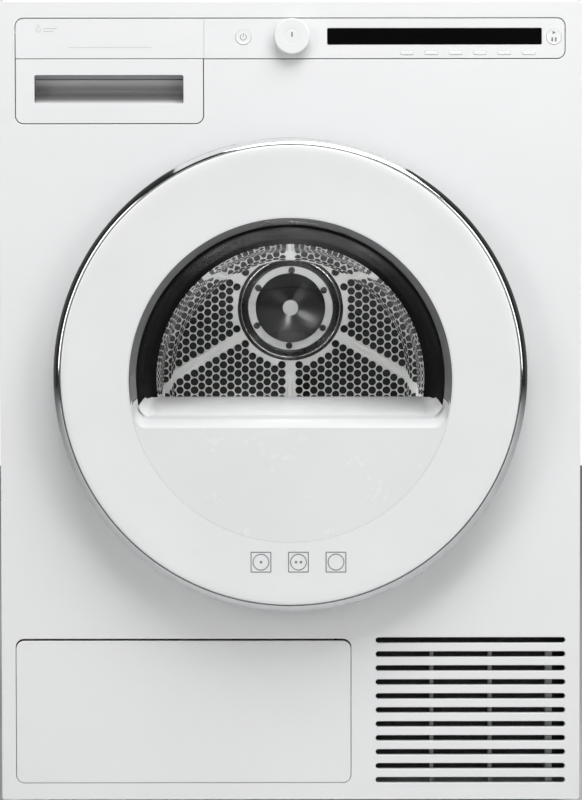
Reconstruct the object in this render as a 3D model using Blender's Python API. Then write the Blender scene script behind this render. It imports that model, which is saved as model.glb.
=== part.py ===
"""Condenser clothes dryer, built as an assembly of separate pieces.

Frame: metres, +Z up. The front faces -Y and +X is to the right seen from the front. The origin lies
on the floor under the middle of the machine's box. "Forward" sizes are distances in front of the
front panel's outer face, FRONT_Y; a piece at `forward` sits at y = FRONT_Y - forward.
"""

import math

import bmesh
import bpy
from mathutils import Matrix, Vector

# ---------------------------------------------------------------- driving dimensions

WIDTH = 0.595
HEIGHT = 0.850
DEPTH = 0.654
GAP = 0.0004                      # clearance between pieces that rest on each other

DOOR_FORWARD = 0.045              # how far the door stands in front of the front panel
FRONT_Y = -DEPTH / 2 + DOOR_FORWARD
REAR_Y = DEPTH / 2 - 0.012        # outer face of the rear panel; the duct cover stands behind it

SHEET = 0.0012                    # enamelled steel sheet
PANEL_LOW, PANEL_HIGH = 0.022, 0.842
PANEL_CORNER = 0.0045
PANEL_RETURN = 0.018              # depth of the folded edges of the front panel
MARGIN = 0.0145                   # border of the front panel beside the flap and the air slots
STRIP_MARGIN = 0.0162             # border of the front panel beside the control strip and the drawer
OPENING_CORNER = 0.0088

FASCIA_LOW, FASCIA_HIGH = 0.7826, 0.8249
DRAWER_LOW = 0.7166
DRAWER_RIGHT = -0.0880            # seam between the drawer and the control fascia
SEAM = 0.0006                     # half of the gap round flush pieces

FLAP_RIGHT = 0.0624
FLAP_LOW, FLAP_HIGH = 0.0391, 0.1885

VENT_LEFT, VENT_RIGHT = 0.0874, WIDTH / 2 - MARGIN - 0.0003
VENT_TOP, VENT_PITCH, VENT_COUNT, VENT_HEIGHT = 0.1869, 0.01445, 11, 0.0059

DOOR_Z = 0.4605                   # height of the door's centre
COVER_RADIUS = 0.2325
PORT_RADIUS = 0.1620              # round opening of the door cover
PORT_Z = 0.4560
WINDOW_SILL = 0.4070              # flat lower edge of the D-shaped window
TUNNEL_RADIUS = 0.1960
HINGE_X, HINGE_FORWARD = 0.2190, 0.0260

DRUM_Z = 0.5280
DRUM_RADIUS = 0.2850
DRUM_FRONT, DRUM_BACK = -0.2220, 0.2360
BULKHEAD_Y = -0.2490              # front face of the front bulkhead
REAR_BULKHEAD_Y = 0.2450

MOTOR_X, MOTOR_Z = 0.1650, 0.1200
PULLEY_RADIUS = 0.0120
BELT_Y, BELT_WIDTH, BELT_THICK = 0.1560, 0.0090, 0.0018
IDLER_RADIUS, IDLER_ARM = 0.0160, 0.0600

CONTROL_Z = 0.8052                # height of the knob and round buttons
KNOB_X, KNOB_RADIUS, KNOB_FORWARD = 0.0020, 0.0184, 0.0110
POWER_X, START_X, ROUND_BUTTON_RADIUS = -0.0477, 0.2695, 0.0079
OPTION_X, OPTION_PITCH, OPTION_Z = 0.1193, 0.0249, 0.7891
OPTION_SIZE = (0.0139, 0.0041)
BUTTON_FORWARD = 0.0012
DISPLAY = (0.0380, 0.7974, 0.2569, 0.8142)

FOOT_X, FOOT_Y = 0.2450, (-0.2250, 0.2450)

FINISHES = {                      # base colour, roughness, metallic
    "white_enamel": ((0.84, 0.85, 0.85), 0.35, 0.0),
    "white_plastic": ((0.86, 0.87, 0.87), 0.30, 0.0),
    "grey_plastic": ((0.34, 0.35, 0.36), 0.50, 0.0),
    "black_plastic": ((0.03, 0.03, 0.03), 0.40, 0.0),
    "display_black": ((0.005, 0.005, 0.005), 0.08, 0.0),
    "chrome_trim": ((0.75, 0.76, 0.77), 0.10, 1.0),
    "dark_trim": ((0.10, 0.10, 0.11), 0.15, 0.6),
    "clear_glass": ((0.85, 0.87, 0.88), 0.02, 0.0),
    "stainless": ((0.62, 0.62, 0.61), 0.22, 1.0),
    "galvanised": ((0.50, 0.51, 0.52), 0.40, 1.0),
    "aluminium": ((0.70, 0.71, 0.72), 0.35, 1.0),
    "rubber": ((0.05, 0.05, 0.05), 0.70, 0.0),
    "grey_rubber": ((0.30, 0.30, 0.31), 0.60, 0.0),
}


# ---------------------------------------------------------------- outlines

def arc(cx, cz, radius, start, end, steps):
    """Points on an arc between two angles in degrees, both ends included."""
    angles = (math.radians(start + (end - start) * i / steps) for i in range(steps + 1))
    return [(cx + radius * math.cos(a), cz + radius * math.sin(a)) for a in angles]


def circle(cx, cz, radius, steps=32):
    return arc(cx, cz, radius, 0, 360 - 360 / steps, steps - 1)


def rounded(left, low, right, high, radii, steps=4):
    """Rectangle whose corners have the given radii, from the lower right one anticlockwise."""
    if isinstance(radii, (int, float)):
        radii = [radii] * 4
    corners = [(right, low, -1, 1, -90), (right, high, -1, -1, 0),
               (left, high, 1, -1, 90), (left, low, 1, 1, 180)]
    points = []
    for (x, z, sx, sz, start), r in zip(corners, radii):
        if r:
            points += arc(x + sx * r, z + sz * r, r, start, start + 90, steps)
        else:
            points.append((x, z))
    return points


def rectangle(left, low, right, high):
    return [(right, low), (right, high), (left, high), (left, low)]


def pill(cx, cz, width, height, steps=4):
    r = height / 2
    x = width / 2 - r
    return arc(cx + x, cz, r, -90, 90, steps) + arc(cx - x, cz, r, 90, 270, steps)


# ---------------------------------------------------------------- making objects

def finish(name):
    made = bpy.data.materials.get(name)
    if made is None:
        colour, roughness, metallic = FINISHES[name]
        made = bpy.data.materials.new(name)
        made.use_nodes = True
        shader = made.node_tree.nodes["Principled BSDF"]
        shader.inputs["Base Color"].default_value = (*colour, 1.0)
        shader.inputs["Roughness"].default_value = roughness
        shader.inputs["Metallic"].default_value = metallic
    return made


def add(name, mesh_builder, material, parent=None, smooth=35):
    """Links a new object for a finished bmesh, with its faces pointing out."""
    bmesh.ops.recalc_face_normals(mesh_builder, faces=mesh_builder.faces)
    mesh = bpy.data.meshes.new(name)
    mesh_builder.to_mesh(mesh)
    mesh_builder.free()
    obj = bpy.data.objects.new(name, mesh)
    bpy.context.scene.collection.objects.link(obj)
    if material is None:
        obj.hide_render = True
        obj.display_type = "WIRE"
    else:
        mesh.materials.append(finish(material))
        mesh.shade_smooth()
        mesh.set_sharp_from_angle(angle=math.radians(smooth))
    if parent is not None:
        obj.parent = parent
        obj.matrix_parent_inverse = Matrix.Translation(-parent.location)
    return obj


def pivot(name, location):
    """Empty on a joint's axis, which carries the pieces that move about it."""
    empty = bpy.data.objects.new(name, None)
    empty.location = location
    bpy.context.scene.collection.objects.link(empty)
    return empty


AXES = {
    "X": lambda a, b, t: (t, a, b),
    "Y": lambda a, b, t: (a, t, b),
    "Z": lambda a, b, t: (a, b, t),
}


def prism(name, outlines, axis, low, high, material=None, parent=None):
    """Outlines extruded along an axis. Outlines inside the first become holes, others more prisms."""
    place = AXES[axis]
    if not isinstance(outlines[0][0], (list, tuple)):
        outlines = [outlines]
    builder = bmesh.new()
    edges = []
    for outline in outlines:
        ring = [builder.verts.new(place(a, b, low)) for a, b in outline]
        edges += [builder.edges.new((ring[i - 1], ring[i])) for i in range(len(ring))]
    bmesh.ops.triangle_fill(builder, use_beauty=True, use_dissolve=False, edges=edges)
    faces = bmesh.ops.extrude_face_region(builder, geom=builder.faces[:])
    moved = [item for item in faces["geom"] if isinstance(item, bmesh.types.BMVert)]
    bmesh.ops.translate(builder, verts=moved, vec=Vector(place(0, 0, high - low)))
    return add(name, builder, material, parent)


def turned(name, profile, centre, axis, steps, material=None, parent=None):
    """Profile of (radius, distance along the axis) turned round an axis through centre.

    A profile that starts and ends at radius 0 makes a solid, any other one a ring.
    """
    builder = bmesh.new()
    place = {"X": lambda r, t: (t, r, 0), "Y": lambda r, t: (r, t, 0), "Z": lambda r, t: (r, 0, t)}[axis]
    points = [builder.verts.new(place(r, t)) for r, t in profile]
    edges = [builder.edges.new(pair) for pair in zip(points, points[1:])]
    if profile[0][0] > 0 or profile[-1][0] > 0:
        edges.append(builder.edges.new((points[-1], points[0])))
    direction = {"X": (1, 0, 0), "Y": (0, 1, 0), "Z": (0, 0, 1)}[axis]
    bmesh.ops.spin(builder, geom=points + edges, cent=(0, 0, 0), axis=direction, dvec=(0, 0, 0),
                   angle=math.tau, steps=steps, use_merge=True)
    bmesh.ops.remove_doubles(builder, verts=builder.verts, dist=1e-6)
    bmesh.ops.translate(builder, verts=builder.verts, vec=centre)
    return add(name, builder, material, parent)


def box(name, low, high, material=None, parent=None, bevel=0.0):
    builder = bmesh.new()
    size = [b - a for a, b in zip(low, high)]
    middle = [(a + b) / 2 for a, b in zip(low, high)]
    bmesh.ops.create_cube(builder, size=1.0, matrix=Matrix.Translation(middle) @ Matrix.Diagonal((*size, 1)))
    if bevel:
        bmesh.ops.bevel(builder, geom=builder.edges[:], offset=bevel, segments=2, profile=0.5,
                        affect="EDGES")
    return add(name, builder, material, parent)


def boolean(target, tool, operation):
    modifier = target.modifiers.new(tool.name, "BOOLEAN")
    modifier.operation = operation
    modifier.solver = "EXACT"
    modifier.object = tool
    return target


def cut(target, *tools):
    for tool in tools:
        boolean(target, tool, "DIFFERENCE")
    return target


def join(target, *tools):
    for tool in tools:
        boolean(target, tool, "UNION")
    return target


# ---------------------------------------------------------------- cabinet

def flush_openings():
    """Outlines of the front panel's openings for the fascia with the drawer, and for the flap."""
    r = OPENING_CORNER
    left, right = -WIDTH / 2 + STRIP_MARGIN, WIDTH / 2 - STRIP_MARGIN
    inner = DRAWER_RIGHT
    controls = (arc(left + r, DRAWER_LOW + r, r, 180, 270, 4) + arc(inner - r, DRAWER_LOW + r, r, 270, 360, 4)
                + [(inner, FASCIA_LOW)] + arc(right - r, FASCIA_LOW + r, r, -90, 0, 4)
                + arc(right - r, FASCIA_HIGH - r, r, 0, 90, 4) + arc(left + r, FASCIA_HIGH - r, r, 90, 180, 4))
    return controls, rounded(-WIDTH / 2 + MARGIN, FLAP_LOW, FLAP_RIGHT, FLAP_HIGH, r)


def make_front_panel():
    half = WIDTH / 2
    panel = prism("front_panel", rounded(-half, PANEL_LOW, half, PANEL_HIGH, PANEL_CORNER), "Y",
                  FRONT_Y, FRONT_Y + PANEL_RETURN, "white_enamel")
    inside = prism("panel_hollow", rounded(-half + SHEET, PANEL_LOW + SHEET, half - SHEET, PANEL_HIGH - SHEET,
                                           PANEL_CORNER - SHEET), "Y", FRONT_Y + SHEET, FRONT_Y + 0.03)
    slots = [pill((VENT_LEFT + VENT_RIGHT) / 2, VENT_TOP - VENT_PITCH * i, VENT_RIGHT - VENT_LEFT, VENT_HEIGHT)
             for i in range(VENT_COUNT)]
    hook_slot = rounded(-0.2240, DOOR_Z - 0.0140, -0.2100, DOOR_Z + 0.0140, 0.002, 2)
    cutter = prism("panel_openings", [*flush_openings(), circle(0, DOOR_Z, 0.2065, 40), hook_slot, *slots], "Y",
                   FRONT_Y - 0.01, FRONT_Y + 0.01)
    cut(panel, inside, cutter)


def make_side_panels():
    front, rear, fold = FRONT_Y + PANEL_RETURN + GAP, REAR_Y - GAP, 0.014
    for name, side in (("left_side_panel", -1), ("right_side_panel", 1)):
        outer, inner, lip = side * WIDTH / 2, side * (WIDTH / 2 - SHEET), side * (WIDTH / 2 - fold)
        section = [(outer, front), (outer, rear), (lip, rear), (lip, rear - SHEET), (inner, rear - SHEET),
                   (inner, front + SHEET), (lip, front + SHEET), (lip, front)]
        prism(name, section, "Z", 0.0430, 0.8245, "white_enamel")


def make_rear_panel():
    slots = [pill(-0.150, 0.075 + 0.014 * i, 0.180, 0.0065, 3) for i in range(8)]
    port = circle(0.215, 0.100, 0.0090, 16)
    outline = rounded(-0.2960, 0.0430, 0.2960, 0.8245, 0.004, 2)
    prism("rear_panel", [outline, circle(0, DRUM_Z, 0.205, 40), port, *slots], "Y",
          REAR_Y, REAR_Y + SHEET, "galvanised")


def make_rear_duct_cover():
    rim, face = REAR_Y + SHEET + GAP, DEPTH / 2
    profile = [(0, face - 0.0015), (0.175, face - 0.0015), (0.188, rim), (0.222, rim), (0.222, rim + 0.0015),
               (0.190, rim + 0.0015), (0.178, face), (0, face)]
    turned("rear_duct_cover", profile, (0, 0, DRUM_Z), "Y", 28, "galvanised")


def make_worktop():
    front = FRONT_Y + PANEL_RETURN + GAP
    top = box("worktop", (-WIDTH / 2, front, 0.8250), (WIDTH / 2, REAR_Y + SHEET, HEIGHT), "white_enamel",
              bevel=0.0030)
    hollow = box("worktop_hollow", (-WIDTH / 2 + 0.006, front + 0.006, 0.80),
                 (WIDTH / 2 - 0.006, REAR_Y - 0.006, HEIGHT - 0.012))
    cut(top, hollow)


def make_base_tray():
    low, high = 0.0205, 0.0420
    tray = prism("base_tray", rounded(-0.2950, -0.2600, 0.2950, 0.3120, 0.008, 3), "Z", low, high, "grey_plastic")
    hollow = prism("tray_hollow", rounded(-0.2910, -0.2560, 0.2910, 0.3080, 0.006, 3), "Z", low + 0.004, high + 0.01)
    holes = [circle(x, y, 0.0056, 16) for x in (-FOOT_X, FOOT_X) for y in FOOT_Y]
    drill = prism("foot_holes", holes, "Z", 0.0, low + 0.006)
    rails = [box(f"condenser_rail_{i}", (x, -0.236, low + 0.002), (x + 0.012, 0.105, 0.0555))
             for i, x in enumerate((-0.262, 0.032))]
    join(cut(tray, hollow, drill), *rails)


def make_feet():
    profile = [(0, 0), (0.0190, 0), (0.0200, 0.0015), (0.0200, 0.0070), (0.0180, 0.0090), (0.0095, 0.0100),
               (0.0095, 0.0200), (0.0047, 0.0200), (0.0047, 0.0420), (0.0037, 0.0435), (0, 0.0435)]
    for end, y in zip(("front", "rear"), FOOT_Y):
        for side, x in (("left", -FOOT_X), ("right", FOOT_X)):
            turned(f"foot_{end}_{side}", profile, (x, y, 0), "Z", 12, "rubber",
                   pivot(f"foot_{end}_{side}_axis", (x, y, 0)))


def make_front_bulkhead():
    """Steel shield behind the front panel, with the door tunnel, the drum's collar and the filter duct."""
    reach = DRUM_RADIUS + 0.0075
    start = math.degrees(math.acos(-0.0820 / reach))
    end = 180 - math.degrees(math.asin((0.7100 - DRUM_Z) / reach))
    plate = [(-0.2850, 0.2250), (0.2850, 0.2250), (0.2850, 0.8150), (-0.0820, 0.8150),
             *arc(0, DRUM_Z, reach, start, end, 8), (-0.2850, 0.7100)]
    shield = prism("front_bulkhead", plate, "Y", BULKHEAD_Y, BULKHEAD_Y + 0.004, "galvanised")
    duct = box("filter_duct", (-0.0930, BULKHEAD_Y - 0.016, 0.1900), (0.0930, -0.2245, 0.3000))
    tunnel = turned("door_tunnel", [(0.150, FRONT_Y + 0.0030), (0.1990, FRONT_Y + 0.0030), (0.1990, -0.2000),
                                    (0.150, -0.2000)], (0, 0, DOOR_Z), "Y", 40)
    bore = turned("tunnel_bore", [(0, -0.35), (TUNNEL_RADIUS, -0.35), (TUNNEL_RADIUS, -0.15), (0, -0.15)],
                  (0, 0, DOOR_Z), "Y", 40)
    collar = turned("drum_collar", [(0.2675, BULKHEAD_Y + 0.002), (0.2715, BULKHEAD_Y + 0.002), (0.2715, -0.2070),
                                    (0.2675, -0.2070)], (0, 0, DRUM_Z), "Y", 36)
    pocket = box("filter_slot", (-0.0890, -0.2600, 0.1800), (0.0890, -0.2340, 0.3500))
    cut(join(shield, collar, tunnel, duct), bore, pocket)


def make_lint_filter():
    """Flat filter cassette that drops into the tunnel's lower lip; its top follows the tunnel."""
    half = 0.0880
    reach = math.degrees(math.asin(half / TUNNEL_RADIUS))
    top = arc(0, DOOR_Z, TUNNEL_RADIUS, 270 + reach, 270 - reach, 12)
    frame = prism("lint_filter", [(-half, 0.1960), (half, 0.1960), *top], "Y", -0.2595, -0.2345, "grey_plastic")
    windows = [box(f"filter_window_{i}", (x, -0.27, 0.2020), (x + 0.0500, -0.2500, 0.2560))
               for i, x in enumerate((-0.0810, -0.0250, 0.0310))]
    cut(frame, *windows)


def make_rear_bulkhead():
    """Rear wall that carries the drum's bearing; six windows let the heated air into the drum."""
    windows = []
    for i in range(6):
        start, end = 60 * i + 36, 60 * i + 84
        windows.append(arc(0, DRUM_Z, 0.190, start, end, 6) + arc(0, DRUM_Z, 0.085, end, start, 3))
    wall = prism("rear_bulkhead", [rectangle(-0.2850, 0.2350, 0.2850, 0.8150), *windows], "Y",
                 REAR_BULKHEAD_Y, REAR_BULKHEAD_Y + 0.004, "galvanised")
    boss = turned("bearing_boss", [(0, REAR_BULKHEAD_Y + 0.001), (0.032, REAR_BULKHEAD_Y + 0.001),
                                   (0.026, 0.2800), (0, 0.2800)], (0, 0, DRUM_Z), "Y", 24)
    bore = turned("bearing_bore", [(0, 0.20), (0.0104, 0.20), (0.0104, 0.30), (0, 0.30)], (0, 0, DRUM_Z), "Y", 24)
    cut(join(wall, boss), bore)


def make_door_seal():
    lip = FRONT_Y - 0.0040
    profile = [(0.1996, FRONT_Y + 0.0140), (0.1996, lip + 0.003), (0.2010, lip), (0.2035, lip), (0.2056, lip + 0.003),
               (0.2058, FRONT_Y + 0.0140)]
    turned("door_seal", profile, (0, 0, DOOR_Z), "Y", 48, "grey_rubber")


def make_condenser():
    """Heat exchanger cassette: a finned core with a grip plate, on the rails behind the flap."""
    left, right, low, high = -0.2640, 0.0460, 0.0560, 0.1780
    front = FRONT_Y + 0.030
    fins = [(left, low), (right, low)]
    teeth, depth = 14, 0.020
    step = (right - left) / (2 * teeth + 1)
    for i in range(2 * teeth + 1):
        x = right - step * i
        z = high if i % 2 == 0 else high - depth
        fins += [(x, z), (x - step, z)]
    core = prism("condenser", fins, "Y", front + 0.012, 0.1000, "aluminium")
    plate = prism("condenser_front", rounded(left - 0.004, low - 0.004, right + 0.004, high + 0.003, 0.006, 2), "Y",
                  front, front + 0.014)
    grip = prism("condenser_grip", rounded(-0.165, 0.100, -0.053, 0.138, 0.008, 2), "Y", front - 0.01, front + 0.010)
    cut(join(core, plate), grip)


def make_vent_screen():
    """Dark intake screen with upright ribs, behind the panel's slots."""
    y = FRONT_Y + 0.0070
    screen = prism("vent_screen", rounded(0.0820, 0.0370, 0.2860, 0.1925, 0.004, 2), "Y", y, y + 0.0030,
                   "black_plastic")
    ribs = [box(f"screen_rib_{i}", (x - w / 2, y - 0.0040, 0.0480), (x + w / 2, y + 0.001, 0.1800))
            for i, (x, w) in enumerate(((0.1450, 0.0036), (0.2053, 0.0034), (0.2664, 0.0068)))]
    join(screen, *ribs)


def make_heater_duct():
    """Scroll round the process fan, with the heater's duct rising to the rear air chamber."""
    y0, y1, wall = 0.1900, 0.2420, 0.003
    scroll = turned("heater_duct", [(0, y0), (0.0880, y0), (0.0880, y1), (0, y1)], (MOTOR_X, 0, MOTOR_Z), "Y", 20,
                    "grey_plastic")
    riser = box("heater_riser", (0.1700, y0, MOTOR_Z), (0.2529, 0.3000, 0.2330))
    inner = turned("scroll_hollow", [(0, y0 + wall), (0.0845, y0 + wall), (0.0845, y1 - wall), (0, y1 - wall)],
                   (MOTOR_X, 0, MOTOR_Z), "Y", 20)
    channel = box("riser_hollow", (0.1735, y0 + wall, MOTOR_Z + 0.003), (0.2495, 0.2970, 0.2300))
    mouth = box("riser_mouth", (0.1735, 0.2530, 0.2200), (0.2495, 0.2970, 0.2400))
    inlet = turned("scroll_inlet", [(0, 0.15), (0.0300, 0.15), (0.0300, y0 + 0.01), (0, y0 + 0.01)],
                   (MOTOR_X, 0, MOTOR_Z), "Y", 24)
    cut(join(scroll, riser), inner, channel, mouth, inlet)


def make_motor_stator():
    """Motor body on its bracket; the shaft runs through it."""
    body = turned("motor_stator", [(0, 0.0100), (0.0400, 0.0100), (0.0560, 0.0220), (0.0560, 0.1080), (0.0400, 0.1200),
                                   (0, 0.1200)], (MOTOR_X, 0, MOTOR_Z), "Y", 24, "galvanised")
    stand = box("motor_stand", (MOTOR_X - 0.050, 0.0250, 0.0250), (MOTOR_X + 0.050, 0.1050, 0.0850))
    relief = box("stand_relief", (MOTOR_X - 0.040, 0.00, 0.0200), (MOTOR_X + 0.040, 0.13, 0.0620))
    bore = turned("shaft_bore", [(0, -0.05), (0.0090, -0.05), (0.0090, 0.15), (0, 0.15)], (MOTOR_X, 0, MOTOR_Z),
                  "Y", 20)
    cut(join(body, stand), relief, bore)


def make_drain_pump():
    """Condensate pump in the base, with its outlet spigot."""
    pump = turned("drain_pump", [(0, 0.0250), (0.0300, 0.0250), (0.0300, 0.0600), (0.0240, 0.0660), (0.0240, 0.0950),
                                 (0, 0.0950)], (-0.200, 0.210, 0), "Z", 20, "black_plastic")
    spigot = turned("pump_spigot", [(0, 0.0400), (0.0070, 0.0400), (0.0070, 0.1250), (0, 0.1250)],
                    (-0.178, 0.210, 0), "Z", 12)
    join(pump, spigot)


def make_drive_belt():
    """Flat belt round the drum and the motor pulley, straight between its tangent points."""
    toward = math.degrees(math.atan2(MOTOR_Z - DRUM_Z, MOTOR_X))
    span = math.hypot(MOTOR_X, MOTOR_Z - DRUM_Z)
    big, small = DRUM_RADIUS + 2 * GAP, PULLEY_RADIUS + GAP
    wrap = math.degrees(math.acos((big - small) / span))
    loops = []
    for extra in (BELT_THICK, 0.0):
        loops.append(arc(0, DRUM_Z, big + extra, toward + wrap, toward + 360 - wrap, 40)
                     + arc(MOTOR_X, MOTOR_Z, small + extra, toward - wrap, toward + wrap, 5))
    prism("drive_belt", loops, "Y", BELT_Y, BELT_Y + BELT_WIDTH, "rubber")


def make_cable_gland():
    y = REAR_Y + SHEET + GAP
    profile = [(0, REAR_Y - 0.010), (0.0085, REAR_Y - 0.010), (0.0085, y), (0.0130, y), (0.0130, y + 0.0045),
               (0.0095, y + 0.0100), (0.0045, y + 0.0100), (0.0045, y - 0.002), (0, y - 0.002)]
    turned("cable_gland", profile, (0.215, 0, 0.100), "Y", 14, "black_plastic")


# ---------------------------------------------------------------- controls

def button_outlines(grow):
    """Centre and outline, grown by a clearance, of each push button."""
    found = {}
    for name, x in (("power_button", POWER_X), ("start_button", START_X)):
        found[name] = (x, CONTROL_Z), circle(x, CONTROL_Z, ROUND_BUTTON_RADIUS + grow, 16)
    width, height = OPTION_SIZE
    for i in range(6):
        x = OPTION_X + OPTION_PITCH * i
        outline = pill(x, OPTION_Z, width + 2 * grow, height + 2 * grow)
        found[f"option_button_{i + 1}"] = (x, OPTION_Z), outline
    return found


def make_control_fascia():
    left, right = DRAWER_RIGHT + SEAM, WIDTH / 2 - STRIP_MARGIN - SEAM
    r = OPENING_CORNER - SEAM
    outline = rounded(left, FASCIA_LOW + SEAM, right, FASCIA_HIGH - SEAM, (r, r, 0, 0))
    holes = [hole for _, hole in button_outlines(0.0004).values()]
    window = rounded(DISPLAY[0] - 0.0004, DISPLAY[1] - 0.0004, DISPLAY[2] + 0.0004, DISPLAY[3] + 0.0004, 0.0012, 2)
    prism("control_fascia", [outline, window, circle(KNOB_X, CONTROL_Z, 0.0045, 20), *holes], "Y",
          FRONT_Y - 0.0004, FRONT_Y + 0.0035, "white_plastic")
    prism("display_window", rounded(*DISPLAY, 0.0010, 2), "Y", FRONT_Y - 0.0002, FRONT_Y + 0.0030, "display_black")


def make_control_board():
    y = FRONT_Y + 0.0120
    board = prism("control_board", rounded(-0.0700, 0.7840, 0.2800, 0.8200, 0.002, 1), "Y", y, y + 0.0020,
                  "grey_plastic")
    encoder = box("encoder_body", (KNOB_X - 0.008, y - 0.0040, CONTROL_Z - 0.008),
                  (KNOB_X + 0.008, y + 0.001, CONTROL_Z + 0.008))
    socket = turned("encoder_socket", [(0, y - 0.01), (0.0034, y - 0.01), (0.0034, y + 0.0010), (0, y + 0.0010)],
                    (KNOB_X, 0, CONTROL_Z), "Y", 16)
    supply = box("supply_block", (0.150, y + 0.001, 0.7900), (0.2600, y + 0.0160, 0.8150))
    cut(join(board, encoder, supply), socket)


def make_knob():
    front = FRONT_Y - KNOB_FORWARD
    profile = [(0, front + 0.0006), (0.0074, front + 0.0006), (0.0080, front), (KNOB_RADIUS - 0.0020, front),
               (KNOB_RADIUS, front + 0.0020), (KNOB_RADIUS, FRONT_Y - 0.0012), (0.0030, FRONT_Y - 0.0012),
               (0.0030, FRONT_Y + 0.0120), (0, FRONT_Y + 0.0120)]
    turned("program_knob", profile, (KNOB_X, 0, CONTROL_Z), "Y", 24, "white_plastic",
           pivot("knob_axis", (KNOB_X, front, CONTROL_Z)))


def make_buttons():
    for name, ((x, z), outline) in button_outlines(0.0).items():
        prism(name, outline, "Y", FRONT_Y - BUTTON_FORWARD, FRONT_Y + 0.0060, "white_plastic",
              pivot(f"{name}_axis", (x, FRONT_Y, z)))


# ---------------------------------------------------------------- condensate drawer

def container_section(shrink):
    """Cross-section of the water container: a rectangle whose lower right is cut away round the drum."""
    left, right, low, high = -0.2760 + shrink, -0.1000 - shrink, 0.7220 + shrink, 0.8180
    reach = DRUM_RADIUS + 0.0125 + shrink
    start = math.degrees(math.acos(right / reach))
    end = 180 - math.degrees(math.asin((low - DRUM_Z) / reach))
    return [(left, low), *arc(0, DRUM_Z, reach, end, start, 8), (right, high), (left, high)]


def make_container_sleeve():
    """Guide rail in the cabinet that the water container slides in."""
    outer, inner = container_section(-0.0030), container_section(-0.0012)
    outer[-2:] = [(outer[-2][0], 0.8225), (outer[-1][0], 0.8225)]
    inner[-2:] = [(inner[-2][0], 0.8205), (inner[-1][0], 0.8205)]
    prism("container_sleeve", [outer, inner], "Y", -0.2380, 0.1850, "grey_plastic")


def make_drawer():
    axis = pivot("drawer_axis", (-0.185, FRONT_Y, 0.770))
    left, right = -WIDTH / 2 + STRIP_MARGIN + SEAM, DRAWER_RIGHT - SEAM
    r = OPENING_CORNER - SEAM
    face = prism("drawer_front", rounded(left, DRAWER_LOW + SEAM, right, FASCIA_HIGH - SEAM, (r, 0, r, r)), "Y",
                 FRONT_Y - 0.0004, FRONT_Y + 0.0080, "white_plastic", axis)
    shell = box("grip_shell", (-0.2640, FRONT_Y + 0.004, 0.7352), (-0.1060, FRONT_Y + 0.0270, 0.7692))
    pocket = prism("grip_pocket", rounded(-0.2614, 0.7375, -0.1090, 0.7667, 0.0025, 3), "Y",
                   FRONT_Y - 0.01, FRONT_Y + 0.0250)
    line = box("drawer_line", (-0.30, FRONT_Y - 0.002, FASCIA_LOW - 0.0004), (-0.08, FRONT_Y + 0.0008,
                                                                           FASCIA_LOW + 0.0004))
    cut(join(face, shell), pocket, line)
    tank = prism("water_container", container_section(0.0), "Y", FRONT_Y + 0.0280, 0.1800, "grey_plastic", axis)
    inside = prism("container_hollow", [(x, z if z < 0.817 else 0.83) for x, z in container_section(0.0025)], "Y",
                   FRONT_Y + 0.0305, 0.1775)
    cut(tank, inside)


# ---------------------------------------------------------------- service flap

def make_service_flap():
    left, right = -WIDTH / 2 + MARGIN + SEAM, FLAP_RIGHT - SEAM
    low, high = FLAP_LOW + SEAM, FLAP_HIGH - 0.0022
    front, back = FRONT_Y - 0.0002, FRONT_Y + 0.0120
    axis = pivot("flap_axis", ((left + right) / 2, front, low))
    r = OPENING_CORNER - SEAM
    flap = prism("service_flap", rounded(left, low, right, high, r), "Y", front, back, "white_enamel", axis)
    hollow = prism("flap_hollow", rounded(left + 0.002, low + 0.002, right - 0.002, high - 0.002, r - 0.002), "Y",
                   front + 0.0022, back + 0.01)
    cut(flap, hollow)


# ---------------------------------------------------------------- door

def forward(distance):
    return FRONT_Y - distance


def hinge_gap(name, left, front):
    """Cutter that clears the cabinet's hinge arm through the whole swing of the door."""
    return box(name, (left, forward(front), DOOR_Z - 0.0185), (0.2450, forward(-0.0040), DOOR_Z + 0.0185))


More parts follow.
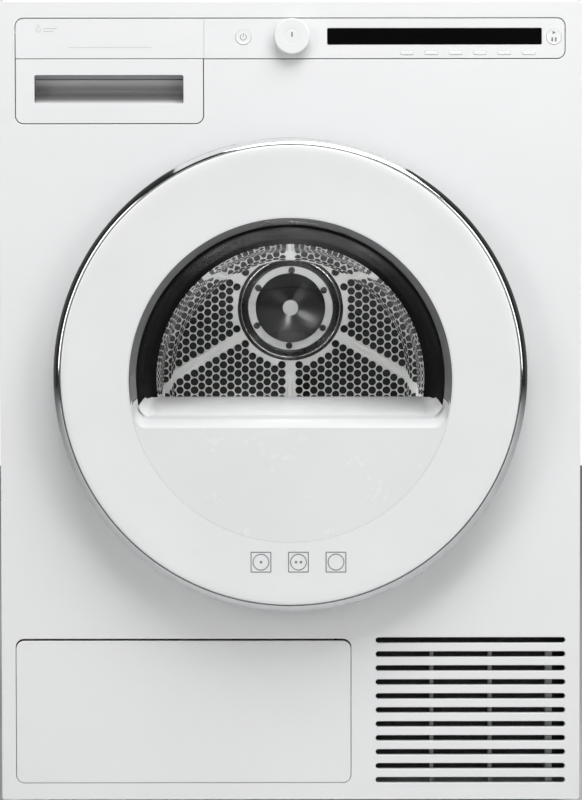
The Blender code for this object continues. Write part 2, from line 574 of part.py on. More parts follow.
def make_door(axis):
    ring = [(0.2384, 0.0100), (0.2405, 0.0140), (0.2405, 0.0352), (0.2400, 0.0375), (0.2372, 0.0403),
            (0.2352, 0.0417), (0.2336, 0.0423), (0.2330, 0.0420), (0.2329, 0.0385), (0.2290, 0.0375),
            (0.2286, 0.0320), (0.2286, 0.0100)]
    trim = turned("door_ring", [(r, forward(d)) for r, d in ring], (0, 0, DOOR_Z), "Y", 40, "chrome_trim", axis)
    cut(trim, hinge_gap("ring_gap", 0.2262, 0.0340))

    face = [(COVER_RADIUS, 0.0390), (COVER_RADIUS, 0.0430), (0.2319, 0.0441), (0.2303, 0.0447),
            (0.2280, DOOR_FORWARD), (0.2240, 0.0449), (0.2150, 0.0441), (0.2050, 0.0433), (0.1850, 0.0422),
            (0.1650, 0.0417), (0.1500, 0.0415)]
    back = [(0.1500, 0.0385), (0.1850, 0.0392), (0.2050, 0.0403), (0.2150, 0.0411), (0.2240, 0.0419),
            (0.2285, 0.0418), (0.2300, 0.0390)]
    cover = turned("door_cover", [(r, forward(d)) for r, d in face + back], (0, 0, DOOR_Z), "Y", 40, "white_plastic",
                   axis)
    port = turned("cover_port", [(0, forward(0.06)), (PORT_RADIUS + 0.0015, forward(0.06)),
                                 (PORT_RADIUS + 0.0015, forward(0.02)), (0, forward(0.02))],
                  (0, 0, PORT_Z), "Y", 48)
    cut(cover, port)
    make_window(axis)

    shell = [(0.2276, 0.0412), (0.2276, 0.0110), (0.2240, 0.0070), (0.2080, 0.0060), (0.1930, 0.0040),
             (0.1890, -0.0020), (0.1865, -0.0170), (0.1840, -0.0195), (0.1710, -0.0200), (0.1680, -0.0180),
             (0.1680, 0.0140), (0.1700, 0.0140), (0.1702, -0.0160), (0.1830, -0.0165), (0.1868, 0.0010),
             (0.1910, 0.0066), (0.2080, 0.0084), (0.2230, 0.0094), (0.2256, 0.0120), (0.2256, 0.0412)]
    lining = turned("door_inner_shell", [(r, forward(d)) for r, d in shell], (0, 0, DOOR_Z), "Y", 32,
                    "white_plastic", axis)
    cut(lining, hinge_gap("lining_gap", 0.2040, 0.0400))
    make_door_fittings(axis)


def d_outline(radius, sill, steps=30):
    """D-shaped window: an arc of the port's circle closed by a flat sill with small round corners."""
    start = math.degrees(math.asin((sill - PORT_Z) / radius))
    points = arc(0, PORT_Z, radius, start, 180 - start, steps)
    (x, z), corner = points[0], 0.010
    left = [(-x + corner * 0.03, z - corner * 0.55), (-x + corner * 0.35, z - corner * 0.93), (-x + corner, z - corner)]
    right = [(-px, pz) for px, pz in reversed(left)]
    return points + left + right


def make_window(axis):
    """Disc in the door's port with the D-shaped window, and the deep glass bowl behind it."""
    face = 0.0415
    disc = prism("window_bezel", circle(0, PORT_Z, PORT_RADIUS + 0.0009, 48), "Y", forward(face), forward(0.0160),
                 "white_plastic", axis)
    window = prism("window_cut", d_outline(0.1600, WINDOW_SILL + 0.010), "Y", forward(0.06), forward(-0.01))
    join(cut(disc, window), make_sill_shelf())

    # Rings of the bowl from its rim to its end: radius, forward distance and height of the centre.
    sections = [(0.1610, 0.0155, 0.4560), (0.1610, 0.0125, 0.4560), (0.1590, 0.0110, 0.4558), (0.1570, -0.0200, 0.4553),
                (0.1530, -0.0600, 0.4547), (0.1490, -0.0880, 0.4542), (0.1420, -0.0960, 0.4540),
                (0.1000, -0.1000, 0.4540), (0.0500, -0.1030, 0.4540)]
    inner = [(0.1550, 0.0155, 0.4560), (0.1530, -0.0200, 0.4553), (0.1490, -0.0590, 0.4547),
             (0.1455, -0.0850, 0.4542), (0.1390, -0.0922, 0.4540), (0.0980, -0.0960, 0.4540),
             (0.0490, -0.0990, 0.4540)]
    loft_bowl("window_glass", sections, inner, (-0.1040, -0.1000), 24, axis)


def make_sill_shelf():
    """Sloping shelf that runs from the window's sill to the end of the bowl."""
    builder = bmesh.new()
    front, back = (0.1400, forward(0.0240), 0.4140), (0.1310, forward(-0.0870), 0.4345)
    corners = []
    for half, y, z in (front, back):
        corners.append([builder.verts.new((x, y, h)) for x, h in ((-half, z - 0.010), (half, z - 0.010), (half, z),
                                                                  (-half, z))])
    builder.faces.new(corners[0])
    builder.faces.new(corners[1])
    for i in range(4):
        builder.faces.new((corners[0][i - 1], corners[0][i], corners[1][i], corners[1][i - 1]))
    return add("sill_shelf", builder, None)


def loft_bowl(name, outer, inner, ends, steps, axis):
    """Closed shell lofted through two stacks of circles, capped at its deep end and open at its rim."""
    builder = bmesh.new()

    def ring(radius, distance, z):
        angles = (math.tau * i / steps for i in range(steps))
        return [builder.verts.new((radius * math.cos(a), forward(distance), z + radius * math.sin(a))) for a in angles]

    def bridge(a, b):
        for i in range(steps):
            builder.faces.new((a[i - 1], a[i], b[i], b[i - 1]))

    stacks = [[ring(*section) for section in stack] for stack in (outer, inner)]
    for stack, end in zip(stacks, ends):
        for a, b in zip(stack, stack[1:]):
            bridge(a, b)
        tip = builder.verts.new((0, forward(end), 0.4540))
        for i in range(steps):
            builder.faces.new((stack[-1][i - 1], stack[-1][i], tip))
    bridge(stacks[0][0], stacks[1][0])
    return add(name, builder, "clear_glass", axis)


def make_door_fittings(axis):
    """Latch hook on the left, and the door's half of the hinge with its pin on the right."""
    hook = [(-0.2175, 0.0102), (-0.2175, -0.0120), (-0.2215, -0.0120), (-0.2215, -0.0080), (-0.2195, -0.0060),
            (-0.2195, 0.0020), (-0.2215, 0.0040), (-0.2215, 0.0102)]
    base = [(x, forward(d)) for x, d in hook]
    prism("door_hook", base, "Z", DOOR_Z - 0.0060, DOOR_Z + 0.0060, "galvanised", axis)
    slot = box("hook_passage", (-0.2225, forward(0.0100), DOOR_Z - 0.0064), (-0.2165, forward(0.0020), DOOR_Z + 0.0064))
    cut(bpy.data.objects["door_inner_shell"], slot)

    leaf = box("door_hinge_leaf", (0.1950, forward(0.0345), DOOR_Z - 0.0370), (0.2200, forward(0.0320), DOOR_Z + 0.0370),
               "galvanised", axis)
    ears = []
    for side in (-1, 1):
        low, high = sorted((DOOR_Z + side * 0.0156, DOOR_Z + side * 0.0180))
        ears.append(prism(f"hinge_ear_{side}", rounded(HINGE_X - 0.0052, forward(0.0340), HINGE_X + 0.0052,
                                                       forward(HINGE_FORWARD - 0.0052), 0.0045, 3), "Z", low, high))
    drill = turned("pin_holes", [(0, DOOR_Z - 0.05), (0.0028, DOOR_Z - 0.05), (0.0028, DOOR_Z + 0.05),
                                 (0, DOOR_Z + 0.05)], (HINGE_X, forward(HINGE_FORWARD), 0), "Z", 16)
    cut(join(leaf, *ears), drill)


def make_hinge_bracket():
    """Cabinet half of the door hinge: a plate on the front panel and a cranked arm round the pin."""
    pin_y = forward(HINGE_FORWARD)
    plate = box("hinge_bracket", (0.2078, forward(0.0020), DOOR_Z - 0.0170), (0.2262, forward(GAP), DOOR_Z + 0.0170),
                "galvanised")
    section = [(0.2085, forward(0.0012)), (0.2118, forward(0.0012)), (0.2118, pin_y + 0.0012),
               (0.2160, pin_y + 0.0030), *arc(HINGE_X, pin_y, 0.0050, 60, -150, 8), (0.2120, pin_y - 0.0020),
               (0.2085, pin_y + 0.0005)]
    arm = prism("hinge_arm", section, "Z", DOOR_Z - 0.0150, DOOR_Z + 0.0150)
    drill = turned("arm_bore", [(0, DOOR_Z - 0.05), (0.0028, DOOR_Z - 0.05), (0.0028, DOOR_Z + 0.05),
                                (0, DOOR_Z + 0.05)], (HINGE_X, pin_y, 0), "Z", 16)
    cut(join(plate, arm), drill)
    turned("hinge_pin", [(0, DOOR_Z - 0.0200), (0.0025, DOOR_Z - 0.0200), (0.0025, DOOR_Z + 0.0184),
                         (0.0042, DOOR_Z + 0.0184), (0.0042, DOOR_Z + 0.0200), (0, DOOR_Z + 0.0200)],
           (HINGE_X, pin_y, 0), "Z", 16, "stainless")


def make_latch_housing():
    front = FRONT_Y + SHEET + GAP
    housing = box("latch_housing", (-0.2320, front, DOOR_Z - 0.0220), (-0.2080, front + 0.0220, DOOR_Z + 0.0220),
                  "black_plastic")
    mouth = box("latch_mouth", (-0.2250, FRONT_Y - 0.01, DOOR_Z - 0.0100), (-0.2110, FRONT_Y + 0.0180, DOOR_Z + 0.0100))
    cut(housing, mouth)


# ---------------------------------------------------------------- drum

def make_drum(axis):
    r = DRUM_RADIUS
    t = 0.0010
    shell = [(0.2760, DRUM_FRONT), (r - 0.003, DRUM_FRONT), (r, DRUM_FRONT + 0.003), (r, DRUM_BACK),
             (r - 0.006, DRUM_BACK), (r - 0.006, DRUM_BACK - t), (r - t, DRUM_BACK - t), (r - t, DRUM_FRONT + 0.0036),
             (r - 0.0035, DRUM_FRONT + t), (0.2760, DRUM_FRONT + t)]
    turned("drum_shell", shell, (0, 0, DRUM_Z), "Y", 36, "stainless", axis)

    wall = DRUM_BACK - t - GAP
    back = [(0.0620, wall - 0.0030), (0.2790, wall - 0.0030), (0.2835, wall - 0.0070), (0.2835, wall),
            (0.0620, wall)]
    turned("drum_back", back, (0, 0, DRUM_Z), "Y", 36, "stainless", axis)

    hub = [(0, wall - 0.0340), (0.0085, wall - 0.0340), (0.0110, wall - 0.0310), (0.0420, wall - 0.0110),
           (0.0520, wall - 0.0110), (0.0560, wall - 0.0030), (0.0616, wall - 0.0030), (0.0616, wall + 0.0002),
           (0.0106, wall + 0.0002), (0.0106, wall - 0.0150), (0, wall - 0.0150)]
    turned("drum_hub", hub, (0, 0, DRUM_Z), "Y", 24, "dark_trim", axis)
    turned("drum_axle", [(0, wall - 0.0145), (0.0100, wall - 0.0145), (0.0100, 0.2800), (0.0080, 0.2820), (0, 0.2820)],
           (0, 0, DRUM_Z), "Y", 16, "galvanised", axis)

    for i in range(3):
        make_lifter(f"drum_lifter_{i + 1}", math.radians(30 + 120 * i), axis)


def make_lifter(name, angle, axis):
    """Hollow-backed ridge on the drum's wall that lifts the laundry; it leans and tapers to its ends."""
    builder = bmesh.new()
    foot = DRUM_RADIUS - 0.0026
    half, height = 0.034, 0.058
    stations = [(-0.1500, 0.35), (-0.1250, 0.85), (-0.0800, 1.0), (0.1400, 1.0), (0.1850, 0.85), (0.2150, 0.35)]
    rings = []
    for y, share in stations:
        base = [(math.sin(t) * foot, math.cos(t) * foot) for t in (a * half / foot for a in (-1, -0.5, 0, 0.5, 1))]
        top = height * share
        crest = [(half * 0.42, foot - top * 0.80), (half * 0.16, foot - top), (-half * 0.16, foot - top),
                 (-half * 0.42, foot - top * 0.80)]
        section = base + crest
        turn = Matrix.Rotation(angle, 2)
        ring = []
        for side, out in section:
            x, z = turn @ Vector((side, out))
            ring.append(builder.verts.new((x, y, DRUM_Z + z)))
        rings.append(ring)
    for a, b in zip(rings, rings[1:]):
        for i in range(len(a)):
            builder.faces.new((a[i - 1], a[i], b[i], b[i - 1]))
    for ring in (rings[0], rings[-1]):
        builder.faces.new(ring)
    bmesh.ops.triangulate(builder, faces=builder.faces[:])
    add(name, builder, "grey_plastic", axis)


# ---------------------------------------------------------------- motor and belt drive

def make_rotor(axis):
    """Motor shaft with its pulley, the cooling fan at the front and the process fan at the rear."""
    r = PULLEY_RADIUS
    low, high = BELT_Y - 0.0015, BELT_Y + BELT_WIDTH + 0.0015
    shaft = [(0, -0.0700), (0.0060, -0.0700), (0.0060, low - 0.0020), (r + 0.004, low - 0.0020), (r + 0.004, low),
             (r, low), (r, high), (r + 0.004, high), (r + 0.004, high + 0.0020), (0.0060, high + 0.0020),
             (0.0060, 0.2300), (0, 0.2300)]
    turned("motor_shaft", shaft, (MOTOR_X, 0, MOTOR_Z), "Y", 14, "galvanised", axis)
    make_fan("cooling_fan", -0.0650, -0.0300, 0.0660, 7, axis)
    make_fan("process_fan", 0.1980, 0.2340, 0.0760, 8, axis)


def make_fan(name, low, high, radius, blades, axis):
    """Radial fan wheel: a disc with a hub and straight blades standing on it."""
    profile = [(0.0063, low), (0.0120, low), (0.0120, high - 0.0030), (radius, high - 0.0030), (radius, high),
               (0.0063, high)]
    wheel = turned(name, profile, (MOTOR_X, 0, MOTOR_Z), "Y", 20, "black_plastic", axis)
    builder = bmesh.new()
    for i in range(blades):
        angle = math.tau * i / blades
        place = (Matrix.Translation((MOTOR_X, 0, MOTOR_Z)) @ Matrix.Rotation(angle, 4, "Y")
                 @ Matrix.Translation((radius * 0.72, (low + high) / 2, 0)) @ Matrix.Rotation(0.5, 4, "Y")
                 @ Matrix.Diagonal((radius * 0.44, high - low - 0.002, 0.0018, 1)))
        bmesh.ops.create_cube(builder, size=1.0, matrix=place)
    return join(wheel, add(name + "_blades", builder, None))


def idler_place():
    """Centres of the idler wheel and of its arm's pivot, beside the belt's long lower run."""
    toward = math.atan2(MOTOR_Z - DRUM_Z, MOTOR_X)
    span = math.hypot(MOTOR_X, MOTOR_Z - DRUM_Z)
    tilt = toward - math.acos((DRUM_RADIUS - PULLEY_RADIUS) / span)
    out = Vector((math.cos(tilt), math.sin(tilt)))
    along = Vector((-out.y, out.x))
    contact = Vector((MOTOR_X, MOTOR_Z)) + out * (PULLEY_RADIUS + GAP) - along * 0.1150
    wheel = contact + out * (BELT_THICK + GAP + IDLER_RADIUS)
    return wheel, wheel - along * IDLER_ARM


def make_idler():
    wheel, post = idler_place()
    arm_axis = pivot("tensioner_axis", (post.x, BELT_Y, post.y))
    spin_axis = pivot("idler_axis", (wheel.x, BELT_Y, wheel.y))
    back = BELT_Y + BELT_WIDTH + 0.0040
    angle = math.degrees(math.atan2((post - wheel).y, (post - wheel).x))
    link = (arc(wheel.x, wheel.y, 0.008, angle + 90, angle + 270, 6)
            + arc(post.x, post.y, 0.010, angle - 90, angle + 90, 6))
    arm = prism("idler_arm", link, "Y", back, back + 0.0040, "galvanised", arm_axis)
    stub = turned("idler_stub", [(0, BELT_Y - 0.001), (0.0040, BELT_Y - 0.001), (0.0040, back + 0.001),
                                 (0, back + 0.001)], (wheel.x, 0, wheel.y), "Y", 14)
    stud = turned("tensioner_stud", [(0, back - 0.010), (0.0060, back - 0.010), (0.0060, back + 0.001),
                                     (0, back + 0.001)], (post.x, 0, post.y), "Y", 14)
    join(arm, stub, stud)
    r = IDLER_RADIUS
    wheel_profile = [(0.0044, BELT_Y - 0.001), (r, BELT_Y - 0.001), (r, BELT_Y + BELT_WIDTH + 0.001),
                     (0.0044, BELT_Y + BELT_WIDTH + 0.001)]
    turned("idler_wheel", wheel_profile, (wheel.x, 0, wheel.y), "Y", 28, "black_plastic", spin_axis)


# ---------------------------------------------------------------- assembly

def main():
    for obj in list(bpy.data.objects):
        bpy.data.objects.remove(obj, do_unlink=True)

    make_front_panel()
    make_side_panels()
    make_rear_panel()
    make_rear_duct_cover()
    make_worktop()
    make_base_tray()
    make_feet()
    make_front_bulkhead()
    make_lint_filter()
    make_rear_bulkhead()
    make_door_seal()
    make_condenser()
    make_vent_screen()
    make_heater_duct()
    make_motor_stator()
    make_drain_pump()
    make_drive_belt()
    make_cable_gland()

    make_control_fascia()
    make_control_board()
    make_knob()
    make_buttons()
    make_container_sleeve()
    make_drawer()
    make_service_flap()

    make_door(pivot("door_axis", (HINGE_X, forward(HINGE_FORWARD), DOOR_Z)))
    make_hinge_bracket()
    make_latch_housing()
    make_drum(pivot("drum_axis", (0, 0, DRUM_Z)))
    make_rotor(pivot("motor_axis", (MOTOR_X, 0, MOTOR_Z)))
    make_idler()


main()
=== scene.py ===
"""Looks of the condenser clothes dryer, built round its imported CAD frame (metres, +Z up, front faces -Y)."""

import math

import bmesh
import bpy
from mathutils import Matrix, Vector


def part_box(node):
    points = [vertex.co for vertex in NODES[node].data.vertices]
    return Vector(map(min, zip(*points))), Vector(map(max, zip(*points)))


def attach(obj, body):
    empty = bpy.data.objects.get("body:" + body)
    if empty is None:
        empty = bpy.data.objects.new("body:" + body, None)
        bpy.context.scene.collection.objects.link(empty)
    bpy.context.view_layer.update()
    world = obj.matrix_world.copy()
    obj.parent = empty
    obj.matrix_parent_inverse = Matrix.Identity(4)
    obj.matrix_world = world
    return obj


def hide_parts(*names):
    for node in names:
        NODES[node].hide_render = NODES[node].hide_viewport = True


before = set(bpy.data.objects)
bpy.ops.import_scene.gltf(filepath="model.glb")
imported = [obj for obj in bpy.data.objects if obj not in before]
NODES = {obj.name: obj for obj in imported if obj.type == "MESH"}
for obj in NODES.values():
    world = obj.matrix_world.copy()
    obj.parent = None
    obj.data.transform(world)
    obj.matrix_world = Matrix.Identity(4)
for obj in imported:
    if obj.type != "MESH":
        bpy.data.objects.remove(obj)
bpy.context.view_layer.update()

# ---------------------------------------------------------------- dimensions

# They repeat those of the CAD, but the window's port is 2.6 mm wider in radius here.

FRONT_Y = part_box("front_panel")[0][1]
HALF_WIDTH = 0.2975
PANEL_LOW, PANEL_HIGH = 0.0222, 0.8420
MARGIN, STRIP_MARGIN = 0.0145, 0.0162
OPENING_CORNER = 0.0088
FASCIA_LOW, FASCIA_HIGH = 0.7826, 0.8249
DRAWER_LOW, DRAWER_RIGHT = 0.7166, -0.0880
SEAM, GROOVE = 0.0006, 0.0009
FLAP_RIGHT, FLAP_LOW, FLAP_HIGH = 0.0624, 0.0391, 0.1885
VENT_LEFT, VENT_RIGHT = 0.0874, HALF_WIDTH - MARGIN - 0.0003
VENT_TOP, VENT_PITCH, VENT_COUNT, VENT_HEIGHT = 0.1869, 0.01445, 11, 0.0059
DOOR_Z, COVER_RADIUS = 0.4605, 0.2325
PORT_Z, PORT_RADIUS, WINDOW_SILL = 0.4560, 0.1646, 0.4070
DRUM_Z, DRUM_RADIUS = 0.5280, 0.2850
CONTROL_Z, POWER_X, START_X, BUTTON_RADIUS = 0.8052, -0.0477, 0.2695, 0.0079
OPTION_X, OPTION_PITCH, OPTION_Z, OPTION_SIZE = 0.1193, 0.0249, 0.7891, (0.0139, 0.0041)
DISPLAY = (0.0380, 0.7974, 0.2569, 0.8142)
KNOB_X, KNOB_RADIUS, KNOB_FORWARD = 0.0020, 0.0184, 0.0110
BUTTON_FORWARD = 0.0012
TRIM_LINE = (-0.2265, 0.7946, -0.1412, 0.79492)
VENT_BACKING = (0.0820, 0.0320, 0.2870, 0.1975)
DROP_MARK = (-0.2570, 0.8125)
CARE_MARK_X, CARE_MARK_Z, CARE_MARK_PITCH = 0.0080, 0.2715, 0.0380


def forward(distance):
    return FRONT_Y - distance


# ---------------------------------------------------------------- outlines in the (x, z) plane

def arc(cx, cz, radius, start, end, steps):
    angles = (math.radians(start + (end - start) * i / steps) for i in range(steps + 1))
    return [(cx + radius * math.cos(a), cz + radius * math.sin(a)) for a in angles]


def circle(cx, cz, radius, steps=96):
    return arc(cx, cz, radius, 0, 360 - 360 / steps, steps - 1)


def rounded(left, low, right, high, radii, steps=10):
    """Rectangle with rounded corners: lower right, upper right, upper left, lower left."""
    if isinstance(radii, (int, float)):
        radii = [radii] * 4
    corners = [(right, low, -1, 1, -90), (right, high, -1, -1, 0), (left, high, 1, -1, 90),
               (left, low, 1, 1, 180)]
    points = []
    for (x, z, sx, sz, start), r in zip(corners, radii):
        if r:
            points += arc(x + sx * r, z + sz * r, r, start, start + 90, steps)
        else:
            points.append((x, z))
    return points


def pill(cx, cz, width, height, steps=10):
    r = height / 2
    x = width / 2 - r
    return arc(cx + x, cz, r, -90, 90, steps) + arc(cx - x, cz, r, 90, 270, steps)


def finish_mesh(obj, material, body, slot=None, replaces=(), angle=30, weighted=True):
    mesh = obj.data
    mesh.materials.clear()
    mesh.materials.append(material)
    mesh.shade_smooth()
    mesh.set_sharp_from_angle(angle=math.radians(angle))
    if weighted:
        modifier = obj.modifiers.new("weighted", "WEIGHTED_NORMAL")
        modifier.keep_sharp = True
        modifier.weight = 100
    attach(obj, body)
    if replaces:
        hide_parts(*replaces)
    return obj


def link(name, mesh):
    obj = bpy.data.objects.new(name, mesh)
    bpy.context.scene.collection.objects.link(obj)
    return obj


def plate_mesh(outlines, back, front, bevel, resolution=3):
    """Mesh of a plate with holes. It lies between two forward distances and its edges are rounded."""
    curve = bpy.data.curves.new("outline", "CURVE")
    curve.dimensions = "2D"
    curve.fill_mode = "BOTH"
    thick = front - back
    curve.extrude = thick / 2 - bevel
    curve.bevel_depth = bevel
    curve.bevel_resolution = resolution if bevel else 0
    curve.offset = -bevel
    for outline in outlines:
        spline = curve.splines.new("POLY")
        spline.points.add(len(outline) - 1)
        for point, (x, z) in zip(spline.points, outline):
            point.co = (x, z, 0, 1)
        spline.use_cyclic_u = True
    holder = bpy.data.objects.new("outline", curve)
    bpy.context.scene.collection.objects.link(holder)
    mesh = bpy.data.meshes.new_from_object(holder.evaluated_get(bpy.context.evaluated_depsgraph_get()))
    bpy.data.objects.remove(holder, do_unlink=True)
    bpy.data.curves.remove(curve)
    middle = forward((back + front) / 2)
    mesh.transform(Matrix.Translation((0, middle, 0)) @ Matrix.Rotation(math.radians(90), 4, "X"))
    builder = bmesh.new()
    builder.from_mesh(mesh)
    bmesh.ops.remove_doubles(builder, verts=builder.verts, dist=1e-7)
    bmesh.ops.recalc_face_normals(builder, faces=builder.faces)
    builder.to_mesh(mesh)
    builder.free()
    return mesh


def plate(name, outlines, back, front, material, body, bevel=0.0004, **more):
    if not isinstance(outlines[0][0], (list, tuple)):
        outlines = [outlines]
    return finish_mesh(link(name, plate_mesh(outlines, back, front, bevel)), material, body, **more)


def turn_mesh(profile, centre, axis, steps, closed):
    builder = bmesh.new()
    place = {"Y": lambda r, t: (r, t, 0), "Z": lambda r, t: (r, 0, t), "X": lambda r, t: (t, r, 0)}[axis]
    points = [builder.verts.new(place(r, t)) for r, t in profile]
    edges = [builder.edges.new(pair) for pair in zip(points, points[1:])]
    if closed:
        edges.append(builder.edges.new((points[-1], points[0])))
    direction = {"X": (1, 0, 0), "Y": (0, 1, 0), "Z": (0, 0, 1)}[axis]
    bmesh.ops.spin(builder, geom=points + edges, cent=(0, 0, 0), axis=direction, dvec=(0, 0, 0),
                   angle=math.tau, steps=steps, use_merge=True)
    bmesh.ops.remove_doubles(builder, verts=builder.verts, dist=1e-7)
    bmesh.ops.translate(builder, verts=builder.verts, vec=centre)
    bmesh.ops.recalc_face_normals(builder, faces=builder.faces)
    mesh = bpy.data.meshes.new("turned")
    builder.to_mesh(mesh)
    builder.free()
    return mesh


def turned(name, profile, centre, material, body, axis="Y", steps=128, **more):
    """Solid or ring of revolution; profile points are (radius, forward distance or height)."""
    closed = profile[0][0] > 0 or profile[-1][0] > 0
    points = [(r, forward(d)) for r, d in profile] if axis == "Y" else profile
    mesh = turn_mesh(smooth_profile(points, more.pop("soften", 0.0), closed), centre, axis, steps, closed)
    return finish_mesh(link(name, mesh), material, body, **more)


def smooth_profile(points, radius, closed):
    """Rounds a profile's corners with short arcs."""
    if not radius:
        return points
    count = len(points)
    result = []
    for i, point in enumerate(points):
        if not closed and i in (0, count - 1):
            result.append(point)
            continue
        p, a, b = Vector(point), Vector(points[i - 1]), Vector(points[(i + 1) % count])
        u, v = (a - p), (b - p)
        lu, lv = u.length, v.length
        cut = min(radius, lu * 0.45, lv * 0.45)
        start, end = p + u.normalized() * cut, p + v.normalized() * cut
        for k in range(5):
            t = k / 4
            q = start * (1 - t) ** 2 + p * 2 * t * (1 - t) + end * t ** 2
            result.append((q.x, q.y))
    return result


def build(name, builder, material, body, **more):
    """Object made of a finished bmesh."""
    bmesh.ops.recalc_face_normals(builder, faces=builder.faces)
    mesh = bpy.data.meshes.new(name)
    builder.to_mesh(mesh)
    builder.free()
    return finish_mesh(link(name, mesh), material, body, **more)


def add_box(builder, low, high):
    size = [b - a for a, b in zip(low, high)]
    middle = [(a + b) / 2 for a, b in zip(low, high)]
    bmesh.ops.create_cube(builder, size=1.0,
                          matrix=Matrix.Translation(middle) @ Matrix.Diagonal((*size, 1)))


def box(name, low, high, material, body, bevel=0.001, **more):
    builder = bmesh.new()
    add_box(builder, low, high)
    bmesh.ops.bevel(builder, geom=builder.edges[:], offset=bevel, segments=3, profile=0.5, affect="EDGES")
    return build(name, builder, material, body, **more)


# ---------------------------------------------------------------- procedural materials

class Graph:
    """Short way to write a Principled material and the nodes that drive it."""

    def __init__(self, name, colour, roughness, metallic=0.0, **values):
        self.material = bpy.data.materials.new(name)
        self.material.use_nodes = True
        self.tree = self.material.node_tree
        self.shader = self.tree.nodes["Principled BSDF"]
        self.set(self.shader, {"Base Color": (*colour, 1.0), "Roughness": roughness, "Metallic": metallic})
        self.set(self.shader, values)
        self.space = self.tree.nodes.new("ShaderNodeTexCoord").outputs["Object"]

    @staticmethod
    def set(node, values):
        for key, value in values.items():
            node.inputs[key.replace("_", " ")].default_value = value

    def node(self, kind, links=(), **values):
        node = self.tree.nodes.new(kind)
        self.set(node, values)
        for key, socket in dict(links).items():
            self.tree.links.new(socket, node.inputs[key])
        return node

    def stretched(self, scale):
        node = self.tree.nodes.new("ShaderNodeMapping")
        node.inputs["Scale"].default_value = scale
        self.tree.links.new(self.space, node.inputs["Vector"])
        return node.outputs["Vector"]

    def noise(self, scale, detail=3.0, stretch=None, roughness=0.5):
        vector = self.stretched(stretch) if stretch else self.space
        return self.node("ShaderNodeTexNoise", {"Vector": vector}, Scale=scale, Detail=detail,
                         Roughness=roughness).outputs["Fac"]

    def ranged(self, value, low, high, source=(0.3, 0.7)):
        node = self.node("ShaderNodeMapRange", {"Value": value})
        for key, number in zip(("From Min", "From Max", "To Min", "To Max"), (*source, low, high)):
            node.inputs[key].default_value = number
        return node.outputs["Result"]

    def mixed(self, factor, first, second):
        node = self.tree.nodes.new("ShaderNodeMix")
        node.data_type = "RGBA"
        colours = [socket for socket in node.inputs if socket.type == "RGBA"]
        colours[0].default_value = (*first, 1.0)
        colours[1].default_value = (*second, 1.0)
        self.tree.links.new(factor, node.inputs[0])
        return next(socket for socket in node.outputs if socket.type == "RGBA")

    def drive(self, name, socket):
        self.tree.links.new(socket, self.shader.inputs[name])

    def bump(self, height, strength, distance=0.0002):
        node = self.node("ShaderNodeBump", {"Height": height}, Strength=strength, Distance=distance)
        self.tree.links.new(node.outputs["Normal"], self.shader.inputs["Normal"])


def tinted(colour, amount):
    return tuple(max(0.0, c * (1 + amount)) for c in colour)


def enamel(name, colour):
    """Stoved enamel on steel: a glossy coat with a fine orange peel and a very slight mottle."""
    g = Graph(name, colour, 0.32, Coat_Weight=0.25, Coat_Roughness=0.12)
    g.drive("Base Color", g.mixed(g.ranged(g.noise(6.0, 4.0), 0, 1), tinted(colour, -0.012),
                                  tinted(colour, 0.012)))
    g.drive("Roughness", g.ranged(g.noise(90.0, 3.0), 0.28, 0.37))
    g.bump(g.noise(650.0, 2.0), 0.10, 0.00008)
    return g.material


def moulded(name, colour, roughness, peel=0.10, coat=0.0, grain=900.0, spread=0.04):
    """Moulded plastic: fine spark-eroded grain, slight flow marks in colour and sheen."""
    g = Graph(name, colour, roughness, Coat_Weight=coat, Coat_Roughness=0.06)
    g.drive("Base Color", g.mixed(g.ranged(g.noise(9.0, 3.0), 0, 1), tinted(colour, -0.02),
                                  tinted(colour, 0.02)))
    g.drive("Roughness", g.ranged(g.noise(60.0, 3.0), max(0.02, roughness - spread), roughness + spread))
    g.bump(g.noise(grain, 2.0), peel, 0.00006)
    return g.material


def metal(name, colour, roughness, stretch=None, scale=220.0, bump=0.05, **values):
    """Metal with brushing or rolling marks along the axis that stretch keeps coarse."""
    g = Graph(name, colour, roughness, 1.0, **values)
    marks = g.noise(scale, 5.0, stretch)
    g.drive("Base Color", g.mixed(g.ranged(marks, 0, 1), tinted(colour, -0.05), tinted(colour, 0.04)))
    g.drive("Roughness", g.ranged(marks, roughness * 0.8, roughness * 1.25))
    if bump:
        g.bump(marks, bump, 0.00005)
    return g.material


def galvanised():
    g = Graph("galvanised_steel", (0.50, 0.51, 0.52), 0.42, 1.0)
    cells = g.node("ShaderNodeTexVoronoi", {"Vector": g.space}, Scale=85.0)
    tone = g.ranged(cells.outputs["Color"], 0, 1, (0.0, 1.0))
    g.drive("Base Color", g.mixed(tone, (0.42, 0.43, 0.44), (0.58, 0.59, 0.60)))
    g.drive("Roughness", g.ranged(tone, 0.34, 0.50, (0.0, 1.0)))
    g.bump(g.noise(300.0, 3.0), 0.08, 0.00005)
    return g.material


def duct_with_painted_shade_inside():
    """Galvanised outside; near black on the inside, towards the drum: painted shade that keeps the drum's
    holes dark.
    """
    g = Graph("duct_steel_painted_shade_inside", (0.5, 0.5, 0.5), 0.45)
    axes = g.node("ShaderNodeSeparateXYZ", {"Vector": g.space.node.outputs["Normal"]})
    outside = g.ranged(axes.outputs["Y"], 0.0, 1.0, (-0.35, -0.15))
    # Painted shade: faces that look towards the drum turn near black.
    g.drive("Base Color", g.mixed(outside, (0.012, 0.012, 0.012), (0.50, 0.51, 0.52)))
    g.drive("Metallic", outside)
    g.drive("Roughness", g.ranged(g.noise(120.0, 3.0), 0.38, 0.5))
    g.bump(g.noise(300.0, 3.0), 0.08, 0.00005)
    return g.material


def clear_glass():
    g = Graph("clear_bowl_glass", (0.93, 0.94, 0.94), 0.01, IOR=1.48, Transmission_Weight=1.0)
    g.drive("Roughness", g.ranged(g.noise(30.0, 2.0), 0.0, 0.012))
    g.bump(g.noise(14.0, 2.0), 0.05, 0.0004)
    return g.material


